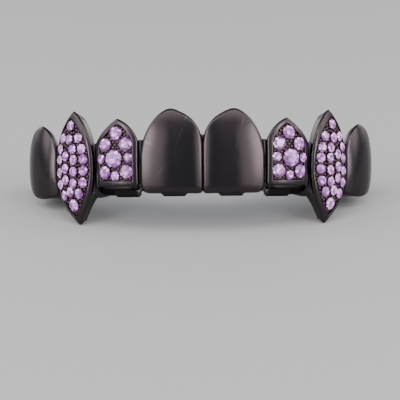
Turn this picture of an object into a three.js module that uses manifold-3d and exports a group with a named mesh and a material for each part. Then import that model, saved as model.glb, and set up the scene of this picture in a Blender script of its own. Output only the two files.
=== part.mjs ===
// A wearable upper fang denture in black-plated cast metal: eight joined tooth caps on one U-shaped frame,
// open at the gum side for the wearer's teeth, with lavender stones set in the lateral incisors and the two
// long fangs. Millimetres. X runs across the mouth, the lips are at -Y, and +Z is up. The denture stands by
// itself on its two fang tips and the rear corners of its premolar caps.
import * as THREE from "three";
import Module from "manifold-3d";
import { mergeVertices } from "three/addons/utils/BufferGeometryUtils.js";

const wasm = await Module();
wasm.setup();

const RAD = Math.PI / 180;

// Main sizes
const CAP_PITCH = 9.0; // width of a central cap with its groove
const CAP_HEIGHT = 12.25; // of a central cap's face
const FANG_DROP = 4.4; // from the centrals' biting edge down to the fang tips
const CHANNEL_DEPTH = 6.9; // behind a central cap, from lip side to tongue side

// Walls of the casting
const PLAIN_PLATE = 1.3; // front plate of a plain cap
const SET_PLATE = 1.9; // front plate of a stone-set cap
const PLATE_TIP = 1.5; // front plate where it runs out into a fang's tip
const TIP_REACH = 4.5; // height over which it thins
const BACK_WALL = 1.0; // lingual wall
const FLOOR = 1.0; // under the biting edge of the wearer's teeth
const CUT_IN = 0.1; // how far a socket cuts into the back of its front plate
const PLATE_OVERLAP = 0.5; // share of a front plate that the channel's outside reaches into

// Edges
const PLAIN_DRAFT = 0.4; // how far a front plate narrows towards its back
const SET_DRAFT = 0.6;
const GROOVE = 0.32; // between neighbouring faces
const RIM = 0.55; // rounding of a plain face's edge
const BEZEL_RIM = 0.32; // rounding of a bezel's edge

// Curvature of the faces
const FACE_MIDDLE = 0.45; // foremost height of a face, as a share of its own
const BULGE_POWER = 2.4; // how late a face turns away towards its sides, 2 is a parabola
const FALL_POWER = 2.2; // the same towards its ends
const TIP_POWER = 1.5; // how late the plate thins towards a fang's tip

// Stone settings
const BEZEL = 0.68; // width of the raised border round a lateral's stones
const POCKET = 0.42; // depth of the stone bed under the border
const BED = 0.6; // thickness of a fang's stone bed
const FIT = 0.12; // gap between pieces that are set into each other
const STONE_LARGE = 2.6;
const STONE_MEDIUM = 1.95;
const STONE_SMALL = 1.38;
const STONE_PAVE = 1.5; // in the fangs
const STONE_CROWN = 0.16; // heights as shares of a stone's diameter
const STONE_GIRDLE = 0.05;
const STONE_PAVILION = 0.36;
const STONE_TABLE = 0.56; // table's share of the diameter
const STONE_SINK = 0.12; // girdle under the bezel's level
const STONE_SIDES = 8;
const BEAD = 0.21; // radius of a metal bead that holds the stones
const BEAD_RISE = 0.3; // bead's top over the bed
const BEAD_SIDES = 5;
const BEAD_LEAST = 0.62; // smallest bead over the full one
const BEAD_SPACING = 0.8; // least distance between beads
const BEAD_SEARCH = 0.7; // distance between the places tried for a bead, over its radius
const TIP_STONE = 1.22; // lowest stone of a fang over its others

// Channel for the wearer's teeth, swept along the arch behind the front plates
const SOCKET_REACH = 1.2 * (FANG_DROP + CAP_HEIGHT); // it stays open this far up
const SCALLOP_POWER = 2.6; // how sharply the caps' lobes meet on the lingual side
const RIDGE = 0.7; // rise of the channel's floor between two teeth
const RIDGE_POWER = 1.6; // how late it rises
const END_STATIONS = [0.62, 0.78, 0.88]; // outside's last sections in the last cap
const END_WALL = 1.05;
const LEVEL_SHARE = 0.42; // middle of each cap over which its bottom stays level
const STATIONS = [-1, -0.8, -0.42, 0, 0.42, 0.8]; // sections along a cap, -1 is its joint nearer the midline

// Heights at which the channel's front follows the faces, in shares of the caps' height
const FRONT_LEVELS = [0.17, 0.38, 0.59, 0.73, 0.87, 0.99];

// Lingual side of the channel's section, in shares of its depth and rise
const SECTION = [
  { depth: 0.45, rise: 0 },
  { depth: 0.7, rise: 0.2 },
  { depth: 0.88, rise: 0.52 },
  { depth: 0.97, rise: 1 },
  { depth: 1, rise: 1.7 },
];

// Outlines in shares: u -1 is the edge at the midline's side and 1 the far edge, v 0 the bottom and 1 the
// top. A run without via is a straight line, and steps is the number of pieces it is drawn with.
const CENTRAL_OUTLINE = {
  start: [-0.88, 0],
  runs: [
    { to: [0.76, 0.005], steps: 3 },
    { via: [[0.92, 0.008], [1, 0.045]], to: [1, 0.13], steps: 3 },
    { to: [1, 0.5], steps: 2 },
    { via: [[1, 0.74], [0.62, 0.93]], to: [0.13, 1], steps: 5 },
    { via: [[-0.42, 0.93], [-0.93, 0.78]], to: [-1, 0.35], steps: 6 },
    { to: [-1, 0.06], steps: 2 },
    { via: [[-1, 0.02], [-0.96, 0]], to: [-0.88, 0], steps: 2 },
  ],
};
const LATERAL_OUTLINE = {
  start: [-0.93, 0.005],
  runs: [
    { to: [0.8, 0.005], steps: 3 },
    { via: [[0.86, 0.01], [0.88, 0.03]], to: [0.9, 0.07], steps: 2 },
    { to: [1, 0.62], steps: 3 },
    { via: [[0.98, 0.67], [0.6, 0.86]], to: [-0.03, 1], steps: 5 },
    { via: [[-0.45, 0.965], [-0.9, 0.82]], to: [-1, 0.66], steps: 5 },
    { to: [-1, 0.05], steps: 3 },
    { via: [[-1, 0.02], [-0.98, 0.005]], to: [-0.93, 0.005], steps: 1 },
  ],
};
const FANG_OUTLINE = {
  start: [-0.26, 0.012],
  runs: [
    { via: [[-0.24, -0.004], [-0.13, -0.004]], to: [-0.09, 0.008], steps: 2 },
    { via: [[0.1, 0.085], [1.03, 0.19]], to: [1, 0.58], steps: 8 },
    { via: [[1, 0.75], [0.5, 0.91]], to: [0.07, 1], steps: 6 },
    { via: [[-0.45, 0.96], [-1, 0.76]], to: [-1, 0.52], steps: 6 },
    { via: [[-1.1, 0.27], [-0.5, 0.1]], to: [-0.26, 0.012], steps: 6 },
  ],
};
const FANG_POCKET = {
  start: [-0.09, 0.063],
  runs: [
    { via: [[0.12, 0.12], [0.88, 0.215]], to: [0.9, 0.57], steps: 6 },
    { via: [[0.9, 0.74], [0.55, 0.88]], to: [0.15, 0.935], steps: 5 },
    { via: [[-0.3, 0.88], [-0.9, 0.72]], to: [-0.9, 0.48], steps: 5 },
    { via: [[-0.9, 0.3], [-0.46, 0.16]], to: [-0.09, 0.063], steps: 6 },
  ],
};
const PREMOLAR_OUTLINE = {
  start: [-0.8, 0.035],
  runs: [
    { via: [[-0.4, -0.01], [0.3, -0.02]], to: [0.62, 0.06], steps: 5 },
    { via: [[0.9, 0.13], [1, 0.26]], to: [1, 0.4], steps: 4 },
    { via: [[1, 0.7], [0.6, 0.98]], to: [0.05, 1], steps: 6 },
    { via: [[-0.4, 1], [-0.92, 0.84]], to: [-1, 0.6], steps: 5 },
    { to: [-1, 0.16], steps: 3 },
    { via: [[-1, 0.08], [-0.95, 0.05]], to: [-0.8, 0.035], steps: 2 },
  ],
};

// The caps of one side in shares, from the midline outwards, with yaw in degrees round the arch. Shares of
// CAP_PITCH: pitch is the cap's own, proud how far the face's edge stands before the arch, and bulge how far
// its middle stands before its edge. Shares of CAP_HEIGHT: height is the face's own, fall_top and
// fall_bottom are how far its ends lean back, and bottom, base and crown are counted from the centrals'
// biting edge, where base and crown are the ends of the channel behind the face. drop is the share of
// FANG_DROP by which a face hangs under its bottom. Shares of CHANNEL_DEPTH: depth is how far the channel
// reaches back, and rise how far its bottom climbs on the way.
const CAP_SHARES = [
  {
    name: "central", outline: CENTRAL_OUTLINE, pitch: 1, yaw: 4, bottom: 0, drop: 0, height: 1,
    proud: 0.039, bulge: 0.094, fall_top: 0.09, fall_bottom: 0.029, plate: PLAIN_PLATE, draft: PLAIN_DRAFT,
    rim: RIM, depth: 1, base: 0.004, crown: 0.637, rise: 0.348,
  },
  {
    name: "lateral", outline: LATERAL_OUTLINE, pitch: 0.789, yaw: 27, bottom: 0.086, drop: 0, height: 0.8,
    proud: 0.061, bulge: 0.067, fall_top: 0.041, fall_bottom: 0.016, plate: SET_PLATE, draft: SET_DRAFT,
    rim: BEZEL_RIM, depth: 1, base: -0.016, crown: 0.629, rise: 0.319,
  },
  {
    name: "fang", outline: FANG_OUTLINE, pocket: FANG_POCKET, pitch: 0.867, yaw: 46, bottom: 0, drop: 1,
    height: 0.988, proud: 0.078, bulge: 0.094, fall_top: 0.073, fall_bottom: 0.098, plate: SET_PLATE,
    draft: SET_DRAFT, rim: BEZEL_RIM, depth: 1.072, base: -0.041, crown: 0.629, rise: 0.188,
  },
  {
    name: "premolar", outline: PREMOLAR_OUTLINE, pitch: 0.833, yaw: 54, bottom: -0.053, drop: 0,
    height: 0.878, proud: 0.044, bulge: 0.122, fall_top: 0.065, fall_bottom: 0.057, plate: PLAIN_PLATE,
    draft: PLAIN_DRAFT, rim: RIM, depth: 1.116, base: -0.045, crown: 0.62, rise: 0.101,
  },
];

// The same for the joints, from the midline to the far end, with the ends of the thin bar that shows between
// two faces.
const JOINT_SHARES = [
  { depth: 0.884, base: 0.049, crown: 0.571, rise: 0.319, bar: [0.041, 0.694] },
  { depth: 0.87, base: 0.065, crown: 0.571, rise: 0.304, bar: [0.073, 0.637] },
  { depth: 0.884, base: 0.041, crown: 0.563, rise: 0.232, bar: [0.073, 0.612] },
  { depth: 0.942, base: 0.008, crown: 0.563, rise: 0.145, bar: [0.041, 0.58] },
  { depth: 0.638, base: 0.082, crown: 0.522, rise: 0.116 },
];

// Height over the fang tips of a share of the caps' height, counted from the centrals' biting edge.
function overTips(share) {
  return FANG_DROP + share * CAP_HEIGHT;
}

function channelSizes({ depth, base, crown, rise }) {
  return {
    depth: depth * CHANNEL_DEPTH,
    base: overTips(base),
    crown: overTips(crown),
    rise: rise * CHANNEL_DEPTH,
  };
}

const CAPS = CAP_SHARES.map((cap) => ({
  ...cap,
  ...channelSizes(cap),
  pitch: cap.pitch * CAP_PITCH,
  proud: cap.proud * CAP_PITCH,
  bulge: cap.bulge * CAP_PITCH,
  bottom: overTips(cap.bottom) - cap.drop * FANG_DROP,
  height: cap.height * CAP_HEIGHT + cap.drop * FANG_DROP,
  fall_top: cap.fall_top * CAP_HEIGHT,
  fall_bottom: cap.fall_bottom * CAP_HEIGHT,
}));
const JOINTS = JOINT_SHARES.map((joint) => ({ ...channelSizes(joint), bar: joint.bar?.map(overTips) }));
const JOINT_RECESS = 0.35; // front of a joint behind the arch line
const JOINT_WEB = 1.2; // its front wall
const BAR_RADIUS = 0.5;
const BAR_SIDES = 8;

// Levels of the solid blade that backs a fang's lower half, its height in shares of FANG_DROP and its reach
// back in shares of the channel's depth there
const BLADE = [
  { height: 0.227, reach: 0.17 },
  { height: 0.591, reach: 0.27 },
  { height: 0.841, reach: 0.37 },
  { height: 1.09, reach: 0.6 },
  { height: 1.364, reach: 0.75 },
];
const BLADE_INSET = 0.35; // its sides inside the plate's outline
const BLADE_POWER = 2.6; // squareness of its lingual side, 2 is an ellipse
const BLADE_TAPER = 0.7; // its lingual width over its front width

// Biting pads under the plain front caps
const PAD_WIDTH = 2.8;
const PAD_DROP = 0.32;
const PAD_RISE = 0.6;
const PAD_SETBACK = 0.75; // behind the front of the face
const PAD_DEPTH = 1.7;

// Stones of a lateral cap, as shares of its half width and height, with their diameters
const LATERAL_STONES = [
  { name: "top", u: -0.035, v: 0.785, size: STONE_MEDIUM },
  { name: "upper_far", u: 0.465, v: 0.615, size: STONE_MEDIUM },
  { name: "upper_near", u: -0.505, v: 0.62, size: STONE_MEDIUM },
  { name: "centre", u: 0.035, v: 0.41, size: STONE_LARGE },
  { name: "side_far", u: 0.67, v: 0.41, size: STONE_SMALL },
  { name: "side_near", u: -0.62, v: 0.425, size: STONE_SMALL },
  { name: "lower_far", u: 0.5, v: 0.21, size: STONE_MEDIUM },
  { name: "lower_middle", u: -0.005, v: 0.155, size: STONE_SMALL },
  { name: "lower_near", u: -0.535, v: 0.22, size: STONE_MEDIUM },
];

// Stones of a fang, one by one from the top, as shares of its half width and height
const FANG_STONES = [
  { u: 0.12, v: 0.872, size: STONE_PAVE },
  { u: 0.53, v: 0.762, size: STONE_PAVE },
  { u: 0.13, v: 0.753, size: STONE_PAVE },
  { u: -0.36, v: 0.763, size: STONE_PAVE },
  { u: 0.69, v: 0.668, size: STONE_PAVE },
  { u: -0.09, v: 0.664, size: STONE_PAVE },
  { u: -0.55, v: 0.665, size: STONE_PAVE },
  { u: 0.32, v: 0.605, size: STONE_PAVE },
  { u: 0.72, v: 0.57, size: STONE_PAVE },
  { u: -0.16, v: 0.571, size: STONE_PAVE },
  { u: -0.64, v: 0.574, size: STONE_PAVE },
  { u: 0.32, v: 0.495, size: STONE_PAVE },
  { u: 0.72, v: 0.458, size: STONE_PAVE },
  { u: -0.16, v: 0.467, size: STONE_PAVE },
  { u: -0.65, v: 0.475, size: STONE_PAVE },
  { u: 0.3, v: 0.394, size: STONE_PAVE },
  { u: 0.67, v: 0.354, size: STONE_PAVE },
  { u: -0.13, v: 0.363, size: STONE_PAVE },
  { u: -0.61, v: 0.37, size: STONE_PAVE },
  { u: 0.43, v: 0.259, size: STONE_PAVE },
  { u: 0.06, v: 0.285, size: STONE_PAVE },
  { u: -0.4, v: 0.273, size: STONE_PAVE },
  { u: -0.07, v: 0.169, size: TIP_STONE * STONE_PAVE },
];

const SMOOTH = 0.015; // steps smaller than this are flattened
const MERGE = 0.0001; // points nearer than this are one
const PROBE = 0.01; // step over which a face's slope is taken
const MITRE_LIMIT = 0.35; // keeps the sharpest corners of an inset outline short
const SETTLE_STEPS = 6; // rounds in which the resting tilt is found

const METAL = new THREE.MeshStandardMaterial({ color: 0x3a3638, roughness: 0.28, metalness: 1 });
const STONE = new THREE.MeshStandardMaterial({ color: 0xb48fd6, roughness: 0.05, metalness: 0 });

// Solids

function solid(geometry) {
  const bare = geometry.clone();
  bare.deleteAttribute("normal");
  bare.deleteAttribute("uv");
  const merged = mergeVertices(bare, MERGE);
  const made = new wasm.Manifold(
    new wasm.Mesh({
      numProp: 3,
      vertProperties: merged.attributes.position.array,
      triVerts: new Uint32Array(merged.index.array),
    }),
  );
  return made.volume() < 0 ? solid(turned(merged)) : made;
}

// The same surface with its faces turned round.
function turned(geometry) {
  const index = Array.from(geometry.index.array);
  for (let i = 0; i < index.length; i += 3) {
    [index[i + 1], index[i + 2]] = [index[i + 2], index[i + 1]];
  }
  return geometry.clone().setIndex(index);
}

function geometryOf(made) {
  const mesh = made.getMesh();
  const positions = new Float32Array(mesh.numVert * 3);
  for (let i = 0; i < mesh.numVert; i++) {
    positions.set(mesh.vertProperties.subarray(i * mesh.numProp, i * mesh.numProp + 3), i * 3);
  }
  const geometry = new THREE.BufferGeometry();
  geometry.setAttribute("position", new THREE.BufferAttribute(positions, 3));
  geometry.setIndex(new THREE.BufferAttribute(new Uint32Array(mesh.triVerts), 1));
  return geometry;
}

function mirrored(geometry) {
  return turned(geometry.clone().scale(-1, 1, 1));
}

// The body itself, without the slivers that cutting can leave.
function tidied(made) {
  const whole = made.simplify(SMOOTH);
  return whole.decompose().reduce((a, b) => (b.volume() > a.volume() ? b : a));
}

function union(parts) {
  return parts.reduce((all, part) => all.add(part));
}

// A closed surface through rings of equally many points, each ring a list of Vector3. A ring of one point
// closes an end, and an end ring of more points is closed by a fan round its own middle.
function loft(rings) {
  const closed = [...rings];
  for (const end of [0, rings.length - 1]) {
    if (rings[end].length > 1) {
      const middle = new THREE.Vector3();
      rings[end].forEach((p) => middle.addScaledVector(p, 1 / rings[end].length));
      if (end === 0) {
        closed.unshift([middle]);
      } else {
        closed.push([middle]);
      }
    }
  }
  const positions = [];
  const starts = [];
  for (const ring of closed) {
    starts.push(positions.length / 3);
    ring.forEach((p) => positions.push(p.x, p.y, p.z));
  }
  const index = [];
  for (let k = 0; k + 1 < closed.length; k++) {
    const [low, high] = [closed[k], closed[k + 1]];
    const count = Math.max(low.length, high.length);
    for (let i = 0; i < count; i++) {
      const j = (i + 1) % count;
      const [a, b] = low.length > 1 ? [starts[k] + i, starts[k] + j] : [starts[k], starts[k]];
      const next = starts[k + 1];
      const [c, d] = high.length > 1 ? [next + i, next + j] : [next, next];
      if (low.length > 1) {
        index.push(a, b, d);
      }
      if (high.length > 1) {
        index.push(a, d, c);
      }
    }
  }
  const geometry = new THREE.BufferGeometry();
  geometry.setAttribute("position", new THREE.Float32BufferAttribute(positions, 3));
  geometry.setIndex(index);
  return geometry;
}

// Tooth frames: x runs across the face, away from the midline, y into the mouth from the front of the face,
// and z up.

function width(cap) {
  return cap.pitch - GROOVE;
}

function drawn(outline) {
  const points = [];
  let from = outline.start;
  for (const run of outline.runs) {
    const ends = [from, ...(run.via ?? []), run.to].map(([u, v]) => new THREE.Vector2(u, v));
    const curve = run.via ? new THREE.CubicBezierCurve(...ends) : new THREE.LineCurve(...ends);
    points.push(...curve.getPoints(run.steps).slice(0, -1));
    from = run.to;
  }
  return points;
}

// Places given in shares of a cap, in millimetres, x across and y up.
function inMillimetres(cap, points) {
  return points.map((p) => new THREE.Vector2((p.x * width(cap)) / 2, cap.bottom + p.y * cap.height));
}

function outlineOf(cap) {
  return inMillimetres(cap, drawn(cap.outline));
}

// The outline moved inwards by a distance, corners kept.
function inset(outline, distance) {
  const count = outline.length;
  return outline.map((p, i) => {
    const before = p.clone().sub(outline[(i + count - 1) % count]).normalize();
    const after = outline[(i + 1) % count].clone().sub(p).normalize();
    const along = before.clone().add(after).normalize();
    const stretch = 1 / Math.max(MITRE_LIMIT, along.dot(after));
    return new THREE.Vector2(p.x - along.y * distance * stretch, p.y + along.x * distance * stretch);
  });
}

// Leftmost and rightmost place of an outline at a height.
function extent(outline, height) {
  const crossings = [];
  outline.forEach((p, i) => {
    const q = outline[(i + 1) % outline.length];
    if (p.y <= height !== q.y <= height) {
      crossings.push(p.x + ((q.x - p.x) * (height - p.y)) / (q.y - p.y));
    }
  });
  return [Math.min(...crossings), Math.max(...crossings)];
}

// Depth of a cap's face behind its foremost point.
function faceDepth(cap, x, z) {
  const height = (z - cap.bottom) / cap.height - FACE_MIDDLE;
  const up = Math.max(0, height) / (1 - FACE_MIDDLE);
  const down = Math.max(0, -height) / FACE_MIDDLE;
  const side = Math.abs(x) / (width(cap) / 2);
  const fall = cap.fall_top * up ** FALL_POWER + cap.fall_bottom * down ** FALL_POWER;
  return cap.bulge * side ** BULGE_POWER + fall;
}

// Thickness of the front plate, less towards a fang's tip.
function plateDepth(cap, z) {
  const tip = cap.pocket ? THREE.MathUtils.clamp(1 - (z - cap.bottom) / TIP_REACH, 0, 1) : 0;
  return cap.plate + (PLATE_TIP - cap.plate) * tip ** TIP_POWER;
}

// A plate that follows the face between two depths, its outline drawn in by rims given as [inset, depth]
// pairs.
function facePlate(cap, outline, rims, backDepth, steps, draft = 0) {
  const middle = new THREE.Vector2();
  outline.forEach((p) => middle.addScaledVector(p, 1 / outline.length));
  const ringAt = (points, share, depth) =>
    points.map((p) => {
      const x = middle.x + (p.x - middle.x) * share;
      const z = middle.y + (p.y - middle.y) * share;
      return new THREE.Vector3(x, faceDepth(cap, x, z) + depth(z), z);
    });
  const front = inset(outline, rims[0][0]);
  const frontDepth = () => rims[0][1];
  const back = inset(outline, draft);
  const inner = Array.from({ length: steps - 1 }, (_, i) => (i + 1) / steps);
  return loft([
    [ringAt([middle], 0, frontDepth)[0]],
    ...inner.map((share) => ringAt(front, share, frontDepth)),
    ...rims.map(([distance, depth]) => ringAt(inset(outline, distance), 1, () => depth)),
    ringAt(back, 1, backDepth),
    ...inner.reverse().map((share) => ringAt(back, share, backDepth)),
    [ringAt([middle], 0, backDepth)[0]],
  ]);
}

function roundedRims(radius) {
  return [90, 45, 0].map((angle) => [
    radius * (1 - Math.cos(angle * RAD)),
    radius * (1 - Math.sin(angle * RAD)),
  ]);
}

function frontPlate(cap) {
  const rims = roundedRims(cap.rim);
  return solid(facePlate(cap, outlineOf(cap), rims, (z) => plateDepth(cap, z), 3, cap.draft));
}

// One level of an upright body: a front that follows a face and a rounded lingual side.
function level(face, z, { left, right, front, back, power, taper, frontPoints, backPoints }) {
  const middle = (left + right) / 2;
  const half = (right - left) / 2;
  const ring = [];
  for (let i = 0; i < frontPoints; i++) {
    const x = left + ((right - left) * i) / (frontPoints - 1);
    ring.push(new THREE.Vector3(x, face(x) + front, z));
  }
  for (let i = 1; i <= backPoints; i++) {
    const angle = (Math.PI * i) / (backPoints + 1);
    const across = Math.sign(Math.cos(angle)) * Math.abs(Math.cos(angle)) ** (2 / power);
    const inward = Math.sin(angle) ** (2 / power);
    const x = middle + half * across * (1 + (taper - 1) * inward);
    const start = face(across > 0 ? right : left) + front;
    ring.push(new THREE.Vector3(x, start + (back - start) * inward, z));
  }
  return ring;
}

function blade(cap) {
  const outline = outlineOf(cap);
  const rings = BLADE.map(({ height, reach }) => {
    const z = cap.bottom + height * FANG_DROP;
    const [left, right] = extent(outline, z);
    return level((x) => faceDepth(cap, x, z), z, {
      left: left + BLADE_INSET,
      right: right - BLADE_INSET,
      front: plateDepth(cap, z) * PLATE_OVERLAP,
      back: cap.depth * reach + cap.proud + cap.bulge,
      power: BLADE_POWER,
      taper: BLADE_TAPER,
      frontPoints: 5,
      backPoints: 6,
    });
  });
  return solid(loft(rings));
}

// The middle of a cap's arch chord and the ends of all chords, from the midline outwards.
function archOf(caps) {
  let end = new THREE.Vector2(0, 0);
  return caps.map((cap) => {
    const yaw = cap.yaw * RAD;
    const step = new THREE.Vector2(Math.cos(yaw), Math.sin(yaw)).multiplyScalar(cap.pitch);
    const start = end;
    end = start.clone().add(step);
    return { start, end, middle: start.clone().addScaledVector(step, 0.5) };
  });
}

const ARCH = archOf(CAPS);

// Places a tooth frame on the arch.
function capPlace(i) {
  const cap = CAPS[i];
  const out = cap.proud + cap.bulge;
  return new THREE.Matrix4()
    .makeRotationZ(cap.yaw * RAD)
    .setPosition(
      ARCH[i].middle.x + out * Math.sin(cap.yaw * RAD),
      ARCH[i].middle.y - out * Math.cos(cap.yaw * RAD),
      0,
    );
}

function jointPlace(i) {
  const yaw = i === 0 ? 0 : (CAPS[i - 1].yaw + CAPS[i].yaw) / 2;
  const { x, y } = ARCH[i].start;
  return new THREE.Matrix4().makeRotationZ(yaw * RAD).setPosition(x, y, 0);
}

function placed(made, matrix) {
  return made.transform(matrix.elements);
}

// How far a place along a cap has come from its level middle to its joint.
function towardsJoint(along) {
  return Math.max(0, (Math.abs(along) - LEVEL_SHARE) / (1 - LEVEL_SHARE)) ** RIDGE_POWER;
}

// A value of the channel at a place along a cap, from the cap's own towards its joint's.
function between(i, along, key) {
  const joint = JOINTS[along < 0 ? i : i + 1];
  const share = key === "base" ? towardsJoint(along) : Math.abs(along) ** SCALLOP_POWER;
  return CAPS[i][key] + (joint[key] - CAPS[i][key]) * share;
}

// Depth of a surface in the front plates, at a share of their thickness, behind the arch line.
function plateSurface(i, along, z, share, atJoint) {
  if (Math.abs(along) === 1) {
    return atJoint;
  }
  const cap = CAPS[i];
  const height = Math.min(z, cap.bottom + cap.height);
  return faceDepth(cap, (along * width(cap)) / 2, height) + share * cap.plate - cap.proud - cap.bulge;
}

// Puts a section, given as [depth, height] pairs, across the arch at a place along a cap.
function station(i, along, section) {
  const beside = along < 0 ? (CAPS[i - 1]?.yaw ?? -CAPS[i].yaw) : (CAPS[i + 1]?.yaw ?? CAPS[i].yaw);
  const yaw = (CAPS[i].yaw + ((beside - CAPS[i].yaw) / 2) * Math.abs(along)) * RAD;
  const { start, end } = ARCH[i];
  const foot = start.clone().lerp(end, (along + 1) / 2);
  return section.map(([depth, z]) => {
    return new THREE.Vector3(foot.x - depth * Math.sin(yaw), foot.y + depth * Math.cos(yaw), z);
  });
}

function outerSection(i, along) {
  const [depth, base, crown, rise] = ["depth", "base", "crown", "rise"].map((key) => between(i, along, key));
  const front = (z) => plateSurface(i, along, z, PLATE_OVERLAP, JOINT_RECESS + BAR_RADIUS);
  return [
    [front(base), base],
    ...SECTION.map((at) => [at.depth * depth, base + at.rise * rise]),
    [depth, crown],
    [front(crown), crown],
  ];
}

function innerSection(i, along) {
  const [depth, base, rise] = ["depth", "base", "rise"].map((key) => between(i, along, key));
  const floor = base + FLOOR + RIDGE * towardsJoint(along);
  const share = 1 - CUT_IN / CAPS[i].plate;
  const front = (z) => plateSurface(i, along, z, share, JOINT_RECESS + JOINT_WEB);
  const back = depth - BACK_WALL;
  return [
    [front(floor), floor],
    ...SECTION.map((at) => [at.depth * back, floor + at.rise * rise]),
    [back, SOCKET_REACH],
    [front(SOCKET_REACH), SOCKET_REACH],
    ...FRONT_LEVELS.map(overTips).map((z) => [front(z), z]).reverse(),
  ];
}

// Sweeps a section from end to end of the arch, with the ends drawn in by a share of the last caps' half
// width.
function sweep(section, drawnIn) {
  const last = CAPS.length - 1;
  const places = CAPS.flatMap((_, i) => STATIONS.map((along) => [i, along]));
  const inner = places.filter(([i, along]) => i < last || along < END_STATIONS[0] - drawnIn);
  const ends = END_STATIONS.map((along) => [last, along - drawnIn]);
  const rings = [...inner, ...ends].map(([i, along]) => station(i, along, section(i, along)));
  const left = rings.slice(1).map((ring) => ring.map((p) => new THREE.Vector3(-p.x, p.y, p.z)));
  return solid(loft([...left.reverse(), ...rings]));
}

function bar(at) {
  const [low, high] = at.bar;
  const geometry = new THREE.CylinderGeometry(BAR_RADIUS, BAR_RADIUS, high - low, BAR_SIDES);
  return solid(geometry.rotateX(Math.PI / 2).translate(0, JOINT_RECESS + BAR_RADIUS, (low + high) / 2));
}

// A rounded biting pad under a plain front cap.
function pad(cap) {
  const rings = [-PAD_DROP, PAD_RISE].map((height) =>
    level(() => 0, cap.bottom + height, {
      left: -PAD_WIDTH / 2,
      right: PAD_WIDTH / 2,
      front: PAD_SETBACK,
      back: PAD_SETBACK + PAD_DEPTH,
      power: BLADE_POWER,
      taper: 1,
      frontPoints: 2,
      backPoints: 6,
    }),
  );
  return solid(loft(rings));
}

// Stone settings

// The area inside a cap's bezel.
function pocketOutline(cap) {
  return cap.pocket ? inMillimetres(cap, drawn(cap.pocket)) : inset(outlineOf(cap), BEZEL);
}

function pocket(cap, depth) {
  const outline = pocketOutline(cap);
  return solid(facePlate(cap, outline, [[0, -BEZEL]], () => depth, 2));
}

function stonesOf(cap, table) {
  return inMillimetres(cap, table.map(({ u, v }) => new THREE.Vector2(u, v))).map((p, i) => ({
    name: table[i].name,
    size: table[i].size,
    x: p.x,
    z: p.y,
  }));
}

// Stands a shape made along +Y, outwards, on the face.
function onFace(cap, x, z, sink) {
  const slopeX = (faceDepth(cap, x + PROBE, z) - faceDepth(cap, x - PROBE, z)) / (2 * PROBE);
  const slopeZ = (faceDepth(cap, x, z + PROBE) - faceDepth(cap, x, z - PROBE)) / (2 * PROBE);
  const outward = new THREE.Vector3(slopeX, -1, slopeZ).normalize();
  const turn = new THREE.Quaternion().setFromUnitVectors(new THREE.Vector3(0, 1, 0), outward);
  const foot = new THREE.Vector3(x, faceDepth(cap, x, z), z).addScaledVector(outward, -sink);
  return new THREE.Matrix4().compose(foot, turn, new THREE.Vector3(1, 1, 1));
}

// A cut stone with its girdle at the origin and its table towards +Y, grown by a gap for its seat.
function stone(size, gap = 0, reach = null) {
  const radius = size / 2 + gap;
  const low = -(STONE_PAVILION + STONE_GIRDLE / 2) * size - gap * 1.5;
  const girdle = (STONE_GIRDLE / 2) * size + gap;
  const profile = [new THREE.Vector2(0, low), new THREE.Vector2(radius, -girdle)];
  if (reach === null) {
    profile.push(
      new THREE.Vector2(radius, girdle),
      new THREE.Vector2(STONE_TABLE * radius, girdle + STONE_CROWN * size),
      new THREE.Vector2(0, girdle + STONE_CROWN * size),
    );
  } else {
    profile.push(new THREE.Vector2(radius, reach), new THREE.Vector2(0, reach));
  }
  return solid(new THREE.LatheGeometry(profile, STONE_SIDES));
}

// Free places between the stones, widest first, where a bead of metal holds them.
function beadPlaces(cap, stones, clearance) {
  const border = pocketOutline(cap);
  const step = BEAD * BEAD_SEARCH;
  const xs = border.map((p) => p.x);
  const zs = border.map((p) => p.y);
  const room = (x, z) => {
    let least = Infinity;
    let inside = false;
    border.forEach((p, i) => {
      const q = border[(i + 1) % border.length];
      const along = q.clone().sub(p);
      const t = THREE.MathUtils.clamp(((x - p.x) * along.x + (z - p.y) * along.y) / along.lengthSq(), 0, 1);
      least = Math.min(least, Math.hypot(x - p.x - along.x * t, z - p.y - along.y * t));
      if (p.y <= z !== q.y <= z && x < p.x + ((q.x - p.x) * (z - p.y)) / (q.y - p.y)) {
        inside = !inside;
      }
    });
    stones.forEach((s) => (least = Math.min(least, Math.hypot(x - s.x, z - s.z) - s.size / 2)));
    return inside ? least : -1;
  };
  const free = [];
  for (let x = Math.min(...xs); x < Math.max(...xs); x += step) {
    for (let z = Math.min(...zs); z < Math.max(...zs); z += step) {
      const r = room(x, z) - clearance;
      if (r > BEAD * BEAD_LEAST) {
        free.push({ x, z, r });
      }
    }
  }
  free.sort((a, b) => b.r - a.r);
  const kept = [];
  for (const place of free) {
    if (kept.every((k) => Math.hypot(k.x - place.x, k.z - place.z) > BEAD_SPACING)) {
      kept.push(place);
    }
  }
  return kept;
}

function bead(place) {
  const radius = Math.min(BEAD, place.r);
  const profile = [
    new THREE.Vector2(0, -BEAD),
    new THREE.Vector2(radius, -BEAD),
    new THREE.Vector2(radius, BEAD_RISE / 2),
    new THREE.Vector2(0, BEAD_RISE),
  ];
  return solid(new THREE.LatheGeometry(profile, BEAD_SIDES));
}

function beads(cap, stones, clearance) {
  const places = beadPlaces(cap, stones, clearance);
  return places.map((p) => placed(bead(p), onFace(cap, p.x, p.z, POCKET)));
}

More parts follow.
